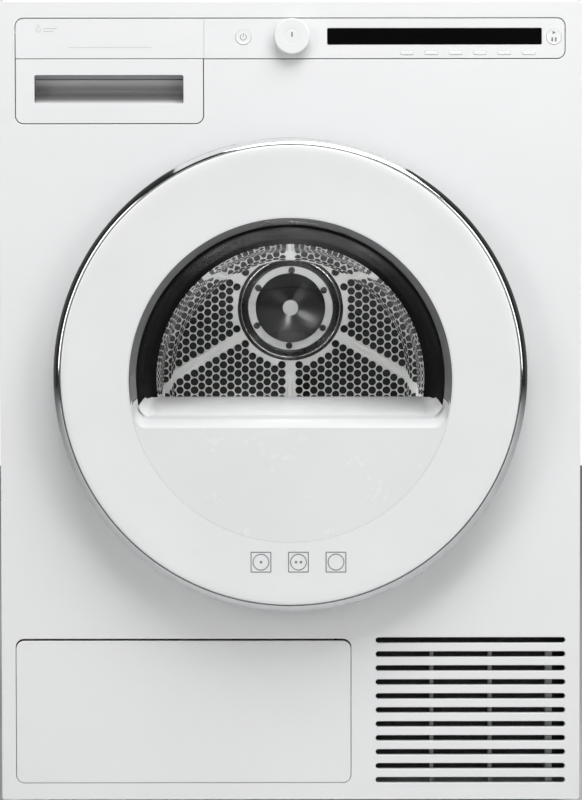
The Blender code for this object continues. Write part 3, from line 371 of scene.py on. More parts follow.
def fine_screen():
    """Black moulded screen whose mesh shows as a fine raised grid."""
    g = Graph("black_intake_screen", (0.012, 0.012, 0.013), 0.55)
    cells = g.node("ShaderNodeTexVoronoi", {"Vector": g.stretched((1.0, 1.0, 1.6))}, Scale=420.0)
    g.drive("Base Color", g.mixed(g.ranged(cells.outputs["Distance"], 0, 1, (0.1, 0.6)),
                                  (0.008, 0.008, 0.008), (0.03, 0.03, 0.032)))
    g.drive("Roughness", g.ranged(g.noise(80.0), 0.45, 0.65))
    g.bump(cells.outputs["Distance"], 0.5, 0.0005)
    return g.material


def skirt_finish():
    """Black skirt of the bowl: dull at the sides and glossier towards its top."""
    g = Graph("black_bowl_skirt", (0.010, 0.010, 0.010), 0.16)
    axes = g.node("ShaderNodeSeparateXYZ", {"Vector": g.space})
    g.drive("IOR", g.ranged(axes.outputs["Z"], 1.015, 1.26, (0.56, 0.645)))
    g.drive("Roughness", g.ranged(g.noise(60.0, 3.0), 0.12, 0.20))
    g.bump(g.noise(300.0, 2.0), 0.02, 0.00006)
    return g.material


def floor_finish():
    g = Graph("pale_studio_floor", (0.66, 0.66, 0.66), 0.6)
    g.drive("Base Color", g.mixed(g.ranged(g.noise(2.0), 0, 1), (0.65, 0.65, 0.65), (0.68, 0.68, 0.68)))
    g.drive("Roughness", g.ranged(g.noise(20.0), 0.5, 0.7))
    return g.material


WHITE = (0.80, 0.805, 0.81)
ENAMEL = enamel("white_enamel", WHITE)
GLOSS = moulded("white_gloss_plastic", (0.80, 0.805, 0.81), 0.22, 0.05, 0.4, 500.0)
SATIN = moulded("white_satin_plastic", (0.79, 0.795, 0.80), 0.36, 0.12)
BUTTON = moulded("button_white_plastic", (0.82, 0.825, 0.83), 0.30, 0.10)
GREY = moulded("grey_plastic", (0.33, 0.34, 0.35), 0.48, 0.25, grain=500.0)
PALE_GREY = moulded("pale_grey_plastic", (0.55, 0.56, 0.57), 0.42, 0.2, grain=500.0)
BLACK = moulded("black_plastic", (0.018, 0.018, 0.019), 0.42, 0.2, grain=500.0)
INK = moulded("printed_grey_mark", (0.22, 0.22, 0.23), 0.5, 0.05)
PALE_INK = moulded("printed_pale_mark", (0.50, 0.50, 0.51), 0.5, 0.05)
DISPLAY_BLACK = moulded("display_black_glass", (0.002, 0.002, 0.002), 0.10, 0.01, 0.1, 200.0, 0.02)
RUBBER = moulded("black_rubber", (0.035, 0.035, 0.036), 0.7, 0.3, grain=700.0)
SEAL = moulded("grey_seal_rubber", (0.22, 0.22, 0.23), 0.6, 0.3, grain=700.0)
CHROME = metal("chrome_trim", (0.62, 0.63, 0.64), 0.07, None, 60.0, 0.01)
STEEL = metal("stainless_drum", (0.66, 0.66, 0.65), 0.24, (1.0, 1.0, 1.0), 160.0, 0.04)
BACK_STEEL = metal("stainless_back", (0.72, 0.72, 0.71), 0.50, (1.0, 1.0, 1.0), 200.0, 0.04)
POLISHED = metal("polished_steel", (0.70, 0.70, 0.70), 0.12, None, 120.0, 0.02)
SATIN_STEEL = metal("satin_steel_ring", (0.66, 0.66, 0.655), 0.48, None, 160.0, 0.02)
# Painted light: the sill's white is brighter than the other white plastics.
SILL = moulded("sill_white_gloss_painted_light", (0.88, 0.885, 0.89), 0.20, 0.03, 0.3, 400.0)
# Painted shade: the window's inner wall is one white plastic, dimmed on its lip and dark grey on its upper
# part.
LIP = moulded("lip_white_painted_shade", (0.62, 0.625, 0.63), 0.42, 0.03, grain=400.0)
EDGE = moulded("window_edge_painted_shade", (0.13, 0.132, 0.135), 0.22, 0.03, 0.3, 400.0)
DISC = moulded("disc_white_gloss", (0.775, 0.78, 0.785), 0.24, 0.05, 0.3, 500.0)
# Dark metal of the hub's step and screws; on the flange ring its darkness is painted shade of a groove.
DARK_METAL = metal("dark_metal_and_painted_groove_shade", (0.06, 0.06, 0.06), 0.30, None, 200.0, 0.04)
ALUMINIUM = metal("bare_aluminium", (0.72, 0.73, 0.74), 0.35, (1.0, 30.0, 1.0), 60.0, 0.2)
SLEEVE = skirt_finish()
GALVANISED = galvanised()
DUCT = duct_with_painted_shade_inside()
GLASS = clear_glass()
SCREEN = fine_screen()
FLOOR = floor_finish()


def cone_finish():
    """Dark turned cone of the hub: brushed round its axis, so that light spreads in radial wedges."""
    g = Graph("turned_dark_cone", (0.05, 0.05, 0.05), 0.24, 1.0, Anisotropic=0.85)
    tangent = g.tree.nodes.new("ShaderNodeTangent")
    tangent.direction_type = "RADIAL"
    tangent.axis = "Y"
    g.tree.links.new(tangent.outputs["Tangent"], g.shader.inputs["Tangent"])
    g.drive("Roughness", g.ranged(g.noise(400.0, 2.0), 0.23, 0.26))
    g.drive("Base Color", g.mixed(g.ranged(g.noise(300.0), 0, 1), (0.048, 0.048, 0.048),
                                  (0.056, 0.056, 0.056)))
    return g.material


CONE = cone_finish()


# ---------------------------------------------------------------- cabinet front

def opening_outlines():
    """The front panel's openings: the L-shaped one of strip and drawer, and the flap's."""
    r = OPENING_CORNER
    left, right, inner = -HALF_WIDTH + STRIP_MARGIN, HALF_WIDTH - STRIP_MARGIN, DRAWER_RIGHT
    controls = (arc(left + r, DRAWER_LOW + r, r, 180, 270, 10)
                + arc(inner - r, DRAWER_LOW + r, r, 270, 360, 10)
                + [(inner, FASCIA_LOW)]
                + arc(right - r, FASCIA_LOW + r, r, -90, 0, 10)
                + arc(right - r, FASCIA_HIGH - r, r, 0, 90, 10)
                + arc(left + r, FASCIA_HIGH - r, r, 90, 180, 10))
    return controls, rounded(-HALF_WIDTH + MARGIN, FLAP_LOW, FLAP_RIGHT, FLAP_HIGH, r)


def slot_outlines():
    return [pill((VENT_LEFT + VENT_RIGHT) / 2, VENT_TOP - VENT_PITCH * i, VENT_RIGHT - VENT_LEFT,
                 VENT_HEIGHT, 12) for i in range(VENT_COUNT)]


def build_front_panel():
    outline = rounded(-HALF_WIDTH, PANEL_LOW, HALF_WIDTH, PANEL_HIGH, (0.0025, 0.0045, 0.0045, 0.0025))
    controls, flap = opening_outlines()
    hook = rounded(-0.2240, DOOR_Z - 0.0140, -0.2100, DOOR_Z + 0.0140, 0.002)
    face = plate("front_panel_face", [outline, controls, flap, circle(0, DOOR_Z, 0.2065, 160), hook,
                                      *slot_outlines()], -0.0022, 0.0, ENAMEL, "cabinet", 0.0007)
    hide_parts("front_panel")
    inset = 0.0012
    rim_out = rounded(-HALF_WIDTH + 0.0001, PANEL_LOW + 0.0001, HALF_WIDTH - 0.0001, PANEL_HIGH - 0.0001,
                      (0.0024, 0.0044, 0.0044, 0.0024))
    rim_in = rounded(-HALF_WIDTH + inset, PANEL_LOW + inset, HALF_WIDTH - inset, PANEL_HIGH - inset,
                     (0.0014, 0.0034, 0.0034, 0.0014))
    plate("front_panel_rim", [rim_out, rim_in], -0.0180, -0.0012, ENAMEL, "cabinet", 0.0003,
          slot="front_panel")
    lips = plate("slot_lips", [rounded(VENT_LEFT - 0.004, VENT_TOP - VENT_PITCH * 10 - 0.007,
                                       VENT_RIGHT + 0.003, VENT_TOP + 0.007, 0.003), *slot_outlines()],
                 -0.0075, -0.0015, ENAMEL, "cabinet", 0.0004)
    back = plate("vent_backing", rounded(*VENT_BACKING, 0.004), -0.0300, -0.0270, SCREEN, "cabinet",
                 0.0005, slot="vent_screen", replaces=("vent_screen",))
    ribs = bmesh.new()
    for x, w in ((0.1455, 0.0036), (0.2058, 0.0036), (0.2664, 0.0068)):
        add_box(ribs, (x - w / 2, forward(-0.0260), 0.0360), (x + w / 2, forward(-0.0100), 0.1800))
    build("vent_ribs", ribs, GREY, "cabinet", slot="vent_screen")
    frame_bars = bmesh.new()
    for low, high in (((0.0820, forward(-0.0268), 0.0320), (0.0840, forward(-0.0080), 0.1975)),
                      ((0.2850, forward(-0.0268), 0.0320), (0.2870, forward(-0.0080), 0.1975)),
                      ((0.0845, forward(-0.0268), 0.0320), (0.2845, forward(-0.0080), 0.0335)),
                      ((0.0845, forward(-0.0268), 0.1958), (0.2845, forward(-0.0080), 0.1975))):
        add_box(frame_bars, low, high)
    build("vent_frame", frame_bars, BLACK, "cabinet", slot="vent_screen")
    return back


def build_controls():
    left, right = DRAWER_RIGHT + 0.0001, HALF_WIDTH - STRIP_MARGIN - GROOVE
    r = OPENING_CORNER - GROOVE
    outline = rounded(left, FASCIA_LOW + GROOVE, right, FASCIA_HIGH - GROOVE, (r, r, 0.0003, 0.0003))
    holes = [circle(x, CONTROL_Z, BUTTON_RADIUS + 0.0002, 64) for x in (POWER_X, START_X)]
    holes.append(circle(KNOB_X, CONTROL_Z, 0.0045, 40))
    for i in range(6):
        holes.append(pill(OPTION_X + OPTION_PITCH * i, OPTION_Z,
                          OPTION_SIZE[0] + 0.0003, OPTION_SIZE[1] + 0.0003))
    a, b, c, d = DISPLAY
    holes.append(rounded(a - 0.0002, b - 0.0002, c + 0.0002, d + 0.0002, 0.0014, 6))
    plate("control_fascia_panel", [outline, *holes], -0.0035, 0.0003, SATIN, "cabinet", 0.0002,
          slot="control_fascia", replaces=("control_fascia",))
    plate("display_glass", rounded(a, b, c, d, 0.0013, 6), -0.0030, 0.0001, DISPLAY_BLACK, "cabinet",
          0.0003, slot="display_window", replaces=("display_window",))

    front = KNOB_FORWARD
    profile = [(0, front - 0.0003), (0.0070, front - 0.0003), (0.0072, front - 0.0006),
               (0.0075, front - 0.0006), (0.0077, front - 0.0002), (0.0172, front),
               (0.0180, front - 0.0005), (KNOB_RADIUS, front - 0.0022), (KNOB_RADIUS, 0.0030),
               (KNOB_RADIUS - 0.0006, 0.0022), (KNOB_RADIUS - 0.0006, 0.0014), (0.0030, 0.0014),
               (0.0030, -0.0120), (0, -0.0120)]
    turned("program_knob_cap", profile, (KNOB_X, 0, CONTROL_Z), SATIN, "knob", soften=0.0004,
           slot="program_knob", replaces=("program_knob",))
    plate("knob_pointer",
          rounded(KNOB_X - 0.0008, CONTROL_Z - 0.0008, KNOB_X + 0.0008, CONTROL_Z + 0.0042, 0.0006, 6),
          front - 0.0004, front - 0.0001, INK, "knob", 0.0001,
          slot="program_knob")

    for name, x in (("power_button", POWER_X), ("start_button", START_X)):
        profile = [(0, BUTTON_FORWARD - 0.0008), (BUTTON_RADIUS - 0.0016, BUTTON_FORWARD - 0.0006),
                   (BUTTON_RADIUS - 0.0006, BUTTON_FORWARD - 0.0002),
                   (BUTTON_RADIUS, BUTTON_FORWARD - 0.0009), (BUTTON_RADIUS, -0.0060), (0, -0.0060)]
        turned(f"{name}_cap", profile, (x, 0, CONTROL_Z), BUTTON, name, soften=0.0003, steps=64, slot=name,
               replaces=(name,))
    for i in range(6):
        name = f"option_button_{i + 1}"
        plate(f"{name}_cap", pill(OPTION_X + OPTION_PITCH * i, OPTION_Z, *OPTION_SIZE), -0.0060,
              BUTTON_FORWARD - 0.0004, BUTTON, name, 0.0006, slot=name, replaces=(name,))
    build_symbols()


def build_symbols():
    """Power, start and pause marks, printed on their buttons."""
    level = BUTTON_FORWARD - 0.0007
    r, w = 0.0034, 0.0006
    ring = arc(POWER_X, CONTROL_Z, r, 125, 415, 24) + arc(POWER_X, CONTROL_Z, r - w, 415, 125, 24)
    plate("power_mark_ring", ring, level, level + 0.0002, INK, "power_button", 0.0, slot="power_button")
    plate("power_mark_bar",
          rounded(POWER_X - w / 2, CONTROL_Z + 0.0004, POWER_X + w / 2, CONTROL_Z + 0.0042, 0),
          level, level + 0.0002, INK, "power_button", 0.0, slot="power_button")
    z = CONTROL_Z + 0.0043
    plate("start_mark",
          [(START_X - 0.0015, z - 0.0017), (START_X + 0.0018, z), (START_X - 0.0015, z + 0.0017)],
          level, level + 0.0002, INK, "start_button", 0.0, slot="start_button")
    for i, x in enumerate((-0.0018, 0.0018)):
        plate(f"pause_mark_{i + 1}",
              rounded(START_X + x - 0.0009, CONTROL_Z - 0.0048, START_X + x + 0.0009, CONTROL_Z - 0.0006, 0),
              level, level + 0.0002, INK, "start_button", 0.0, slot="start_button")


def build_drawer():
    left, right = -HALF_WIDTH + STRIP_MARGIN + GROOVE, DRAWER_RIGHT - GROOVE
    r = OPENING_CORNER - GROOVE
    split, gap = FASCIA_LOW + SEAM, 0.0004
    strip = rounded(left, split + gap, DRAWER_RIGHT - 0.0001, FASCIA_HIGH - GROOVE,
                    (0.0003, 0.0003, r, 0.0003))
    plate("drawer_strip", strip, -0.0030, 0.0003, SATIN, "drawer", 0.0002, slot="drawer_front",
          replaces=("drawer_front",))
    pocket = rounded(*POCKET_BOX, 0.0020, 6)
    block = rounded(left, DRAWER_LOW + GROOVE, right, split - gap, (r, 0.0003, 0.0003, r))
    plate("drawer_block", [block, pocket], -0.0040, 0.0003, SATIN, "drawer", 0.0004, slot="drawer_front")
    x0, z0, x1, z1 = POCKET_BOX
    backing = rounded(left - 0.0002, DRAWER_LOW + 0.0008, right + 0.0002, FASCIA_HIGH - 0.0010, r)
    plate("drawer_backing",
          [backing, rounded(x0 - 0.0008, z0 - 0.0008, x1 + 0.0008, z1 + 0.0008, 0.0018, 6)],
          -0.0080, -0.0042, BLACK, "drawer", 0.0004, slot="drawer_front")
    build_pocket()
    plate("drawer_trim_line", rounded(*TRIM_LINE, 0), 0.0002, 0.00042, PALE_INK, "drawer", 0.0,
          slot="drawer_front")
    build_drop_mark()


def build_drop_mark():
    """Outline of a water drop over a line: the usual sign for a condensate container."""
    x, z = DROP_MARK
    r, w = 0.0024, 0.0005
    angles = [math.radians(140 + 260 * i / 28) for i in range(29)]
    side = [(x + r * math.cos(a), z + r * math.sin(a)) for a in angles]
    inner = [(x + (r - w) * math.cos(a), z + (r - w) * math.sin(a)) for a in angles]
    drop = side + [(x, z + 0.0058)]
    hollow = inner + [(x, z + 0.0058 - 2 * w)]
    plate("drop_mark", [drop, hollow], 0.0002, 0.00042, PALE_INK, "drawer", 0.0, slot="drawer_front")
    for i, (low, high) in enumerate(((0.0050, 0.0190), (0.0050, 0.0150))):
        plate(f"drop_mark_line_{i + 1}", rounded(x + low, z + 0.0012 - 0.0028 * i, x + high,
                                                 z + 0.0018 - 0.0028 * i, 0), 0.0002, 0.00042, PALE_INK,
              "drawer", 0.0, slot="drawer_front")


POCKET_BOX = (-0.2614, 0.7375, -0.1090, 0.7667)


def pocket_painted_shading():
    """Glossy grey whose tone is set by height: painted shade that falls off towards the fold of the scoop, and
    a painted highlight where it turns white at its front edge.
    """
    g = Graph("pocket_grey_painted_shade_and_highlight", (0.3, 0.3, 0.3), 0.32, Coat_Weight=0.2, Coat_Roughness=0.08)
    axes = g.node("ShaderNodeSeparateXYZ", {"Vector": g.space})
    height = g.ranged(axes.outputs["Z"], 0.0, 1.0, (0.7370, 0.7620))
    ramp = g.tree.nodes.new("ShaderNodeValToRGB")
    stops = ramp.color_ramp.elements
    stops[0].position, stops[1].position = 0.03, 0.95
    for position in (0.09, 0.22, 0.41, 0.68):
        stops.new(position)
    # Painted shade and highlight: dark towards the fold, white at the front edge.
    for stop, level in zip(stops, (0.85, 0.56, 0.20, 0.125, 0.29, 0.46)):
        stop.color = (level, level, level * 1.01, 1.0)
    g.tree.links.new(height, ramp.inputs["Fac"])
    g.drive("Base Color", ramp.outputs["Color"])
    g.drive("Roughness", g.ranged(g.noise(60.0, 3.0), 0.28, 0.36))
    g.bump(g.noise(900.0, 2.0), 0.10, 0.00006)
    return g.material


def build_pocket():
    """Scooped grip pocket: sloping roof, dark joint, back curving forward into the floor, end walls."""
    x0, low, x1, high = POCKET_BOX
    material = pocket_painted_shading()
    scoop = [(0.0150, high - 0.0040), (0.0190, high - 0.0085)]
    for i in range(1, 15):
        angle = math.radians(90 * i / 14)
        scoop.append((0.0190 * math.cos(angle), high - 0.0085 - (high - 0.0085 - low) * math.sin(angle)))
    roof = [(0.0, high), (0.0140, high - 0.0034)]
    for name, section, stuff in (("grip_scoop", scoop, material), ("grip_roof", roof, GREY)):
        builder = bmesh.new()
        columns = [x0 - 0.0002] + [x0 + (x1 - x0) * i / 24 for i in range(1, 24)] + [x1 + 0.0002]
        rows = [[builder.verts.new((x, forward(-0.0003 - d), z)) for x in columns] for d, z in section]
        for a, b in zip(rows, rows[1:]):
            for i in range(len(a) - 1):
                builder.faces.new((a[i], a[i + 1], b[i + 1], b[i]))
        build(name, builder, stuff, "drawer", slot="drawer_front", weighted=False, angle=60)
    ends = bmesh.new()
    for x in (x0 - 0.0010, x1 + 0.0010):
        add_box(ends, (x - 0.0006, forward(-0.0225), low - 0.0005),
                (x + 0.0006, forward(-0.0003 - 0.0010), high + 0.0005))
    build("grip_ends", ends, material, "drawer", slot="drawer_front")
    box("grip_housing", (x0 - 0.0016, forward(-0.0262), low - 0.0020),
        (x1 + 0.0016, forward(-0.0228), high + 0.0020), BLACK, "drawer", 0.0005, slot="drawer_front")


def build_flap():
    left, right = -HALF_WIDTH + MARGIN + SEAM, FLAP_RIGHT - SEAM
    low, high = FLAP_LOW + SEAM, FLAP_HIGH - 0.0020
    r = OPENING_CORNER - SEAM
    plate("service_flap_face", rounded(left, low, right, high, r), -0.0030, 0.0002, ENAMEL, "flap", 0.0008,
          slot="service_flap", replaces=("service_flap",))
    plate("service_flap_rim",
          [rounded(left + 0.0004, low + 0.0004, right - 0.0004, high - 0.0004, r - 0.0004),
           rounded(left + 0.0024, low + 0.0024, right - 0.0024, high - 0.0024, r - 0.0024)],
          -0.0118, -0.0020, ENAMEL, "flap", 0.0004, slot="service_flap")
    ribs = bmesh.new()
    for x in (-0.200, -0.110, -0.020):
        add_box(ribs, (x - 0.001, forward(-0.0100), low + 0.003),
                (x + 0.001, forward(-0.0030), high - 0.003))
    add_box(ribs, (left + 0.003, forward(-0.0100), 0.1130), (right - 0.003, forward(-0.0030), 0.1150))
    build("service_flap_ribs", ribs, ENAMEL, "flap", slot="service_flap")


# ---------------------------------------------------------------- door

COVER_FACE = [(COVER_RADIUS, 0.0390), (COVER_RADIUS, 0.0428), (0.2322, 0.0439), (0.2310, 0.0445),
              (0.2290, 0.0448), (0.2265, 0.0449), (0.2240, 0.0448), (0.2150, 0.0441), (0.2050, 0.0433),
              (0.1950, 0.0427), (0.1850, 0.0422), (0.1750, 0.0419), (0.1650, 0.0416), (0.1600, 0.0415),
              (0.1500, 0.0415)]


def cover_mark(name, outlines):
    """Printed mark that follows the cover's dished face."""
    mark = plate(name, outlines, 0.0, 0.0002, INK, "door", 0.0, slot="door_cover")
    for vertex in mark.data.vertices:
        x, y, z = vertex.co
        radius = math.hypot(x, z - DOOR_Z)
        outside, inside = next((a, b) for a, b in zip(COVER_FACE, COVER_FACE[1:]) if a[0] >= radius > b[0])
        share = (outside[0] - radius) / (outside[0] - inside[0])
        level = outside[1] + (inside[1] - outside[1]) * share
        vertex.co.y = forward(level + (0.00015 if FRONT_Y - y > 0.0001 else -0.0001))


def build_care_marks():
    """Tumble-drying signs: a circle in a square with one, two and no dots."""
    half, w, z = 0.0105, 0.0010, CARE_MARK_Z
    for i, dots in enumerate((1, 2, 0)):
        x = CARE_MARK_X + CARE_MARK_PITCH * (i - 1)
        cover_mark(f"care_square_{i + 1}",
                   [rounded(x - half, z - half, x + half, z + half, 0.0010, 4),
                    rounded(x - half + w, z - half + w, x + half - w, z + half - w, 0.0006, 4)])
        cover_mark(f"care_circle_{i + 1}",
                   [circle(x, z, half - 0.0020, 48), circle(x, z, half - 0.0020 - w, 48)])
        for k in range(dots):
            dot = x + (k - (dots - 1) / 2) * 0.0050
            cover_mark(f"care_dot_{i + 1}_{k + 1}", [circle(dot, z, 0.0014, 16)])


def build_door():
    ring = [(0.2384, 0.0100), (0.2402, 0.0125), (0.2405, 0.0160), (0.2405, 0.0350), (0.2400, 0.0374),
            (0.2372, 0.0403), (0.2352, 0.0417), (0.2337, 0.0423), (0.2330, 0.0420), (0.2328, 0.0385),
            (0.2290, 0.0375), (0.2286, 0.0320), (0.2286, 0.0100)]
    trim = turned("door_ring_trim", ring, (0, 0, DOOR_Z), CHROME, "door", steps=256, soften=0.0006,
                  slot="door_ring")
    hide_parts("door_ring")
    notch(trim, (0.2262, forward(0.0340), DOOR_Z - 0.0185), (0.2450, forward(-0.0040), DOOR_Z + 0.0185))

    back = [(0.1500, 0.0385), (0.1850, 0.0392), (0.2050, 0.0403), (0.2150, 0.0411), (0.2240, 0.0419),
            (0.2285, 0.0418), (0.2300, 0.0390)]
    closed = [(r, forward(d)) for r, d in COVER_FACE + back]
    mesh = turn_mesh(smooth_profile(closed, 0.0008, True), (0, 0, DOOR_Z), "Y", 256, True)
    cover = link("door_cover_face", mesh)
    cutter = link("cover_port", turn_mesh([(0, forward(0.06)), (PORT_RADIUS + 0.0001, forward(0.06)),
                                           (PORT_RADIUS + 0.0001, forward(0.02)), (0, forward(0.02))],
                                          (0, 0, PORT_Z), "Y", 256, False))
    apply_boolean(cover, cutter)
    finish_mesh(cover, GLOSS, "door", slot="door_cover", replaces=("door_cover",))
    build_care_marks()
    build_window()
    lining()


def apply_boolean(obj, cutter):
    modifier = obj.modifiers.new("cut", "BOOLEAN")
    modifier.operation = "DIFFERENCE"
    modifier.solver = "EXACT"
    modifier.object = cutter
    evaluated = obj.evaluated_get(bpy.context.evaluated_depsgraph_get())
    mesh = bpy.data.meshes.new_from_object(evaluated)
    obj.modifiers.remove(modifier)
    obj.data = mesh
    bpy.data.objects.remove(cutter, do_unlink=True)


def notch(obj, low, high):
    builder = bmesh.new()
    add_box(builder, low, high)
    mesh = bpy.data.meshes.new("notch")
    builder.to_mesh(mesh)
    builder.free()
    material = obj.data.materials[0]
    apply_boolean(obj, link("notch", mesh))
    obj.data.materials.clear()
    obj.data.materials.append(material)


def window_outline(radius, sill, corner, steps=96):
    """D: an arc of the port's circle, closed by a flat sill with round corners."""
    inner = radius - corner
    height = sill + corner - PORT_Z
    side = math.sqrt(inner ** 2 - height ** 2)
    angle = math.degrees(math.atan2(height, side))
    right = arc(side, sill + corner, corner, -90, angle, 10)
    left = [(-x, z) for x, z in reversed(right)]
    return right + arc(0, PORT_Z, radius, angle, 180 - angle, steps)[1:-1] + left


BOWL_Z = PORT_Z - 0.0015
DISC_FRONT = 0.0414


def build_window():
    opening = window_outline(PORT_RADIUS - 0.0010, WINDOW_SILL, 0.0150)
    plate("window_disc", [circle(0, PORT_Z, PORT_RADIUS, 256), opening], 0.0380, DISC_FRONT, DISC, "door",
          0.00015, slot="window_bezel", replaces=("window_bezel",))
    plate("window_disc_flange", [circle(0, PORT_Z, PORT_RADIUS - 0.0004, 256),
                                 window_outline(PORT_RADIUS - 0.0008, WINDOW_SILL - 0.0002, 0.0150)],
          0.0160, 0.0382, GLOSS, "door", 0.0001, slot="window_bezel")
    sections = [(0.1636, 0.4070, 0.0150, DISC_FRONT), (0.1633, 0.4079, 0.0146, DISC_FRONT - 0.0003),
                (0.1629, 0.4096, 0.0142, 0.0398), (0.1621, 0.4130, 0.0138, 0.0368),
                (0.1612, 0.4158, 0.0135, 0.0330), (0.1604, 0.4168, 0.0135, 0.0300),
                (0.1574, 0.4193, 0.0135, 0.0178)]
    outlines = [(window_outline(r, z, c), d) for r, z, c, d in sections]
    # Painted shade: one white wall, split by height into a dimmed white lip below and dark grey above.
    loft("window_lip", outlines, LIP, lambda z: z < 0.4325)
    loft("window_edge", outlines, EDGE, lambda z: z >= 0.4325)
    build_sill()

    outer = [(0.1500, -0.0790), (0.1495, -0.0830), (0.1465, -0.0905), (0.1405, -0.0960), (0.1300, -0.0985),
             (0.1000, -0.1005), (0.0500, -0.1030), (0.0, -0.1040)]
    inner = [(0.0, -0.1000), (0.0500, -0.0990), (0.0980, -0.0965), (0.1270, -0.0945), (0.1370, -0.0915),
             (0.1425, -0.0860), (0.1452, -0.0790)]
    rounded_outer = smooth_profile([(r, forward(d)) for r, d in outer], 0.004, False)
    rounded_inner = smooth_profile([(r, forward(d)) for r, d in inner], 0.004, False)
    mesh = turn_mesh(rounded_inner + rounded_outer, (0, 0, BOWL_Z), "Y", 192, False)
    finish_mesh(link("window_glass_bowl", mesh), GLASS, "door", slot="window_glass",
                replaces=("window_glass",), angle=50, weighted=False)
    skirt = [(0.1606, 0.0155), (0.1606, 0.0125), (0.1590, 0.0100), (0.1570, -0.0200), (0.1535, -0.0600),
             (0.1504, -0.0785), (0.1410, -0.0785), (0.1462, -0.0590), (0.1518, -0.0200), (0.1548, 0.0100),
             (0.1560, 0.0155)]
    turned("window_bowl_skirt", skirt, (0, 0, BOWL_Z), SLEEVE, "door", steps=192, slot="window_glass",
           soften=0.0004)


def loft(name, sections, material, wanted):
    """Thin wall through outlines that have the same number of points, each at its forward distance."""
    builder = bmesh.new()
    rows = [[builder.verts.new((x, forward(d), z)) for x, z in outline] for outline, d in sections]
    for a, b in zip(rows, rows[1:]):
        for i in range(len(a)):
            if wanted((a[i - 1].co.z + a[i].co.z) / 2):
                builder.faces.new((a[i - 1], a[i], b[i], b[i - 1]))
    bmesh.ops.delete(builder, geom=[v for v in builder.verts if not v.link_faces], context="VERTS")
    return build(name, builder, material, "door", slot="window_bezel", angle=60)


def build_sill():
    """Light shelf from the window's lip back to the bowl's end, with side edges that curl up."""
    stations = [(0.0250, 0.1548, 0.4168, 0.0150), (0.0140, 0.1532, 0.4198, 0.0148),
                (-0.0100, 0.1515, 0.4240, 0.0135), (-0.0350, 0.1493, 0.4282, 0.0110),
                (-0.0600, 0.1462, 0.4320, 0.0080), (-0.0780, 0.1430, 0.4344, 0.0055),
                (-0.0850, 0.1404, 0.4350, 0.0040), (-0.0880, 0.1385, 0.4344, 0.0030),
                (-0.0885, 0.1380, 0.4300, 0.0020)]
    builder = bmesh.new()
    rows = []
    for distance, half, z, corner in stations:
        flat = half - corner
        side = [(flat + corner * math.sin(a), z + corner * (1 - math.cos(a)))
                for a in (math.radians(80 * i / 12) for i in range(13))]
        middle = [(-flat + 2 * flat * i / 16, z) for i in range(1, 16)]
        points = [(-x, h) for x, h in side[::-1]] + middle + side
        rows.append([builder.verts.new((x, forward(distance), h)) for x, h in points])
    for a, b in zip(rows, rows[1:]):
        for i in range(len(a) - 1):
            builder.faces.new((a[i], a[i + 1], b[i + 1], b[i]))
    return build("window_sill", builder, SILL, "door", slot="window_bezel", angle=60)


def lining():
    shell = [(0.2276, 0.0410), (0.2276, 0.0110), (0.2240, 0.0070), (0.2080, 0.0060), (0.1930, 0.0040),
             (0.1890, -0.0020), (0.1865, -0.0170), (0.1840, -0.0195), (0.1710, -0.0200), (0.1680, -0.0180),
             (0.1680, 0.0140), (0.1700, 0.0140), (0.1702, -0.0160), (0.1830, -0.0165), (0.1868, 0.0010),
             (0.1910, 0.0066), (0.2080, 0.0084), (0.2230, 0.0094), (0.2256, 0.0120), (0.2256, 0.0410)]
    obj = turned("door_lining", shell, (0, 0, DOOR_Z), SATIN, "door", steps=160, soften=0.0015,
                 slot="door_inner_shell", replaces=("door_inner_shell",))
    notch(obj, (0.2040, forward(0.0340), DOOR_Z - 0.0185), (0.2450, forward(-0.0040), DOOR_Z + 0.0185))
    notch(obj, (-0.2225, forward(0.0100), DOOR_Z - 0.0064), (-0.2165, forward(0.0020), DOOR_Z + 0.0064))


# ---------------------------------------------------------------- drum

BACK_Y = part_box("drum_back")[0][1] + 0.0040
HOLE_PITCH, HOLE_RADIUS = 0.01025, 0.0046


def build_drum_back():
    """Perforated wall: hexagonal cells with round holes in six sectors, plain spokes between them."""
    inner_limit, outer_limit, spoke_half, shift = 0.0696, 0.2560, 0.0102, 0.0030
    builder = bmesh.new()
    front = BACK_Y
    sides = 12
    cells = []
    reach = int(outer_limit / HOLE_PITCH) + 4
    column = HOLE_PITCH * math.sqrt(3) / 2
    for sector in range(6):
        bisector = math.radians(60 * sector)
        ux, uz = math.cos(bisector), math.sin(bisector)
        for i in range(-reach, reach + 1):
            for j in range(-reach, reach + 1):
                x = i * column
                z = (j + 0.5 * (i % 2)) * HOLE_PITCH
                if abs(math.atan2(x * uz - z * ux, x * ux + z * uz)) > math.radians(30):
                    continue
                px, pz = x + shift * ux, z + shift * uz
                r = math.hypot(px, pz)
                if not inner_limit <= r <= outer_limit:
                    continue
                angle = math.atan2(px * uz - pz * ux, px * ux + pz * uz)
                if r * math.sin(math.radians(30) - abs(angle)) < spoke_half:
                    continue
                cells.append((px, pz))
    for cx, cz in cells:
        rings = []
        for radius, depth in ((HOLE_RADIUS + 0.0005, 0.0), (HOLE_RADIUS + 0.0001, 0.00025),
                              (HOLE_RADIUS, 0.0014)):
            ring = []
            for k in range(sides):
                a = math.tau * k / sides
                ring.append(builder.verts.new((cx + radius * math.cos(a), front + depth, DRUM_Z + cz
                                               + radius * math.sin(a))))
            rings.append(ring)
        for a, b in zip(rings, rings[1:]):
            for k in range(sides):
                builder.faces.new((a[k - 1], a[k], b[k], b[k - 1]))
    build("drum_back_hole_rims", builder, BACK_STEEL, "drum", slot="drum_back", angle=80, weighted=False)
    return cells


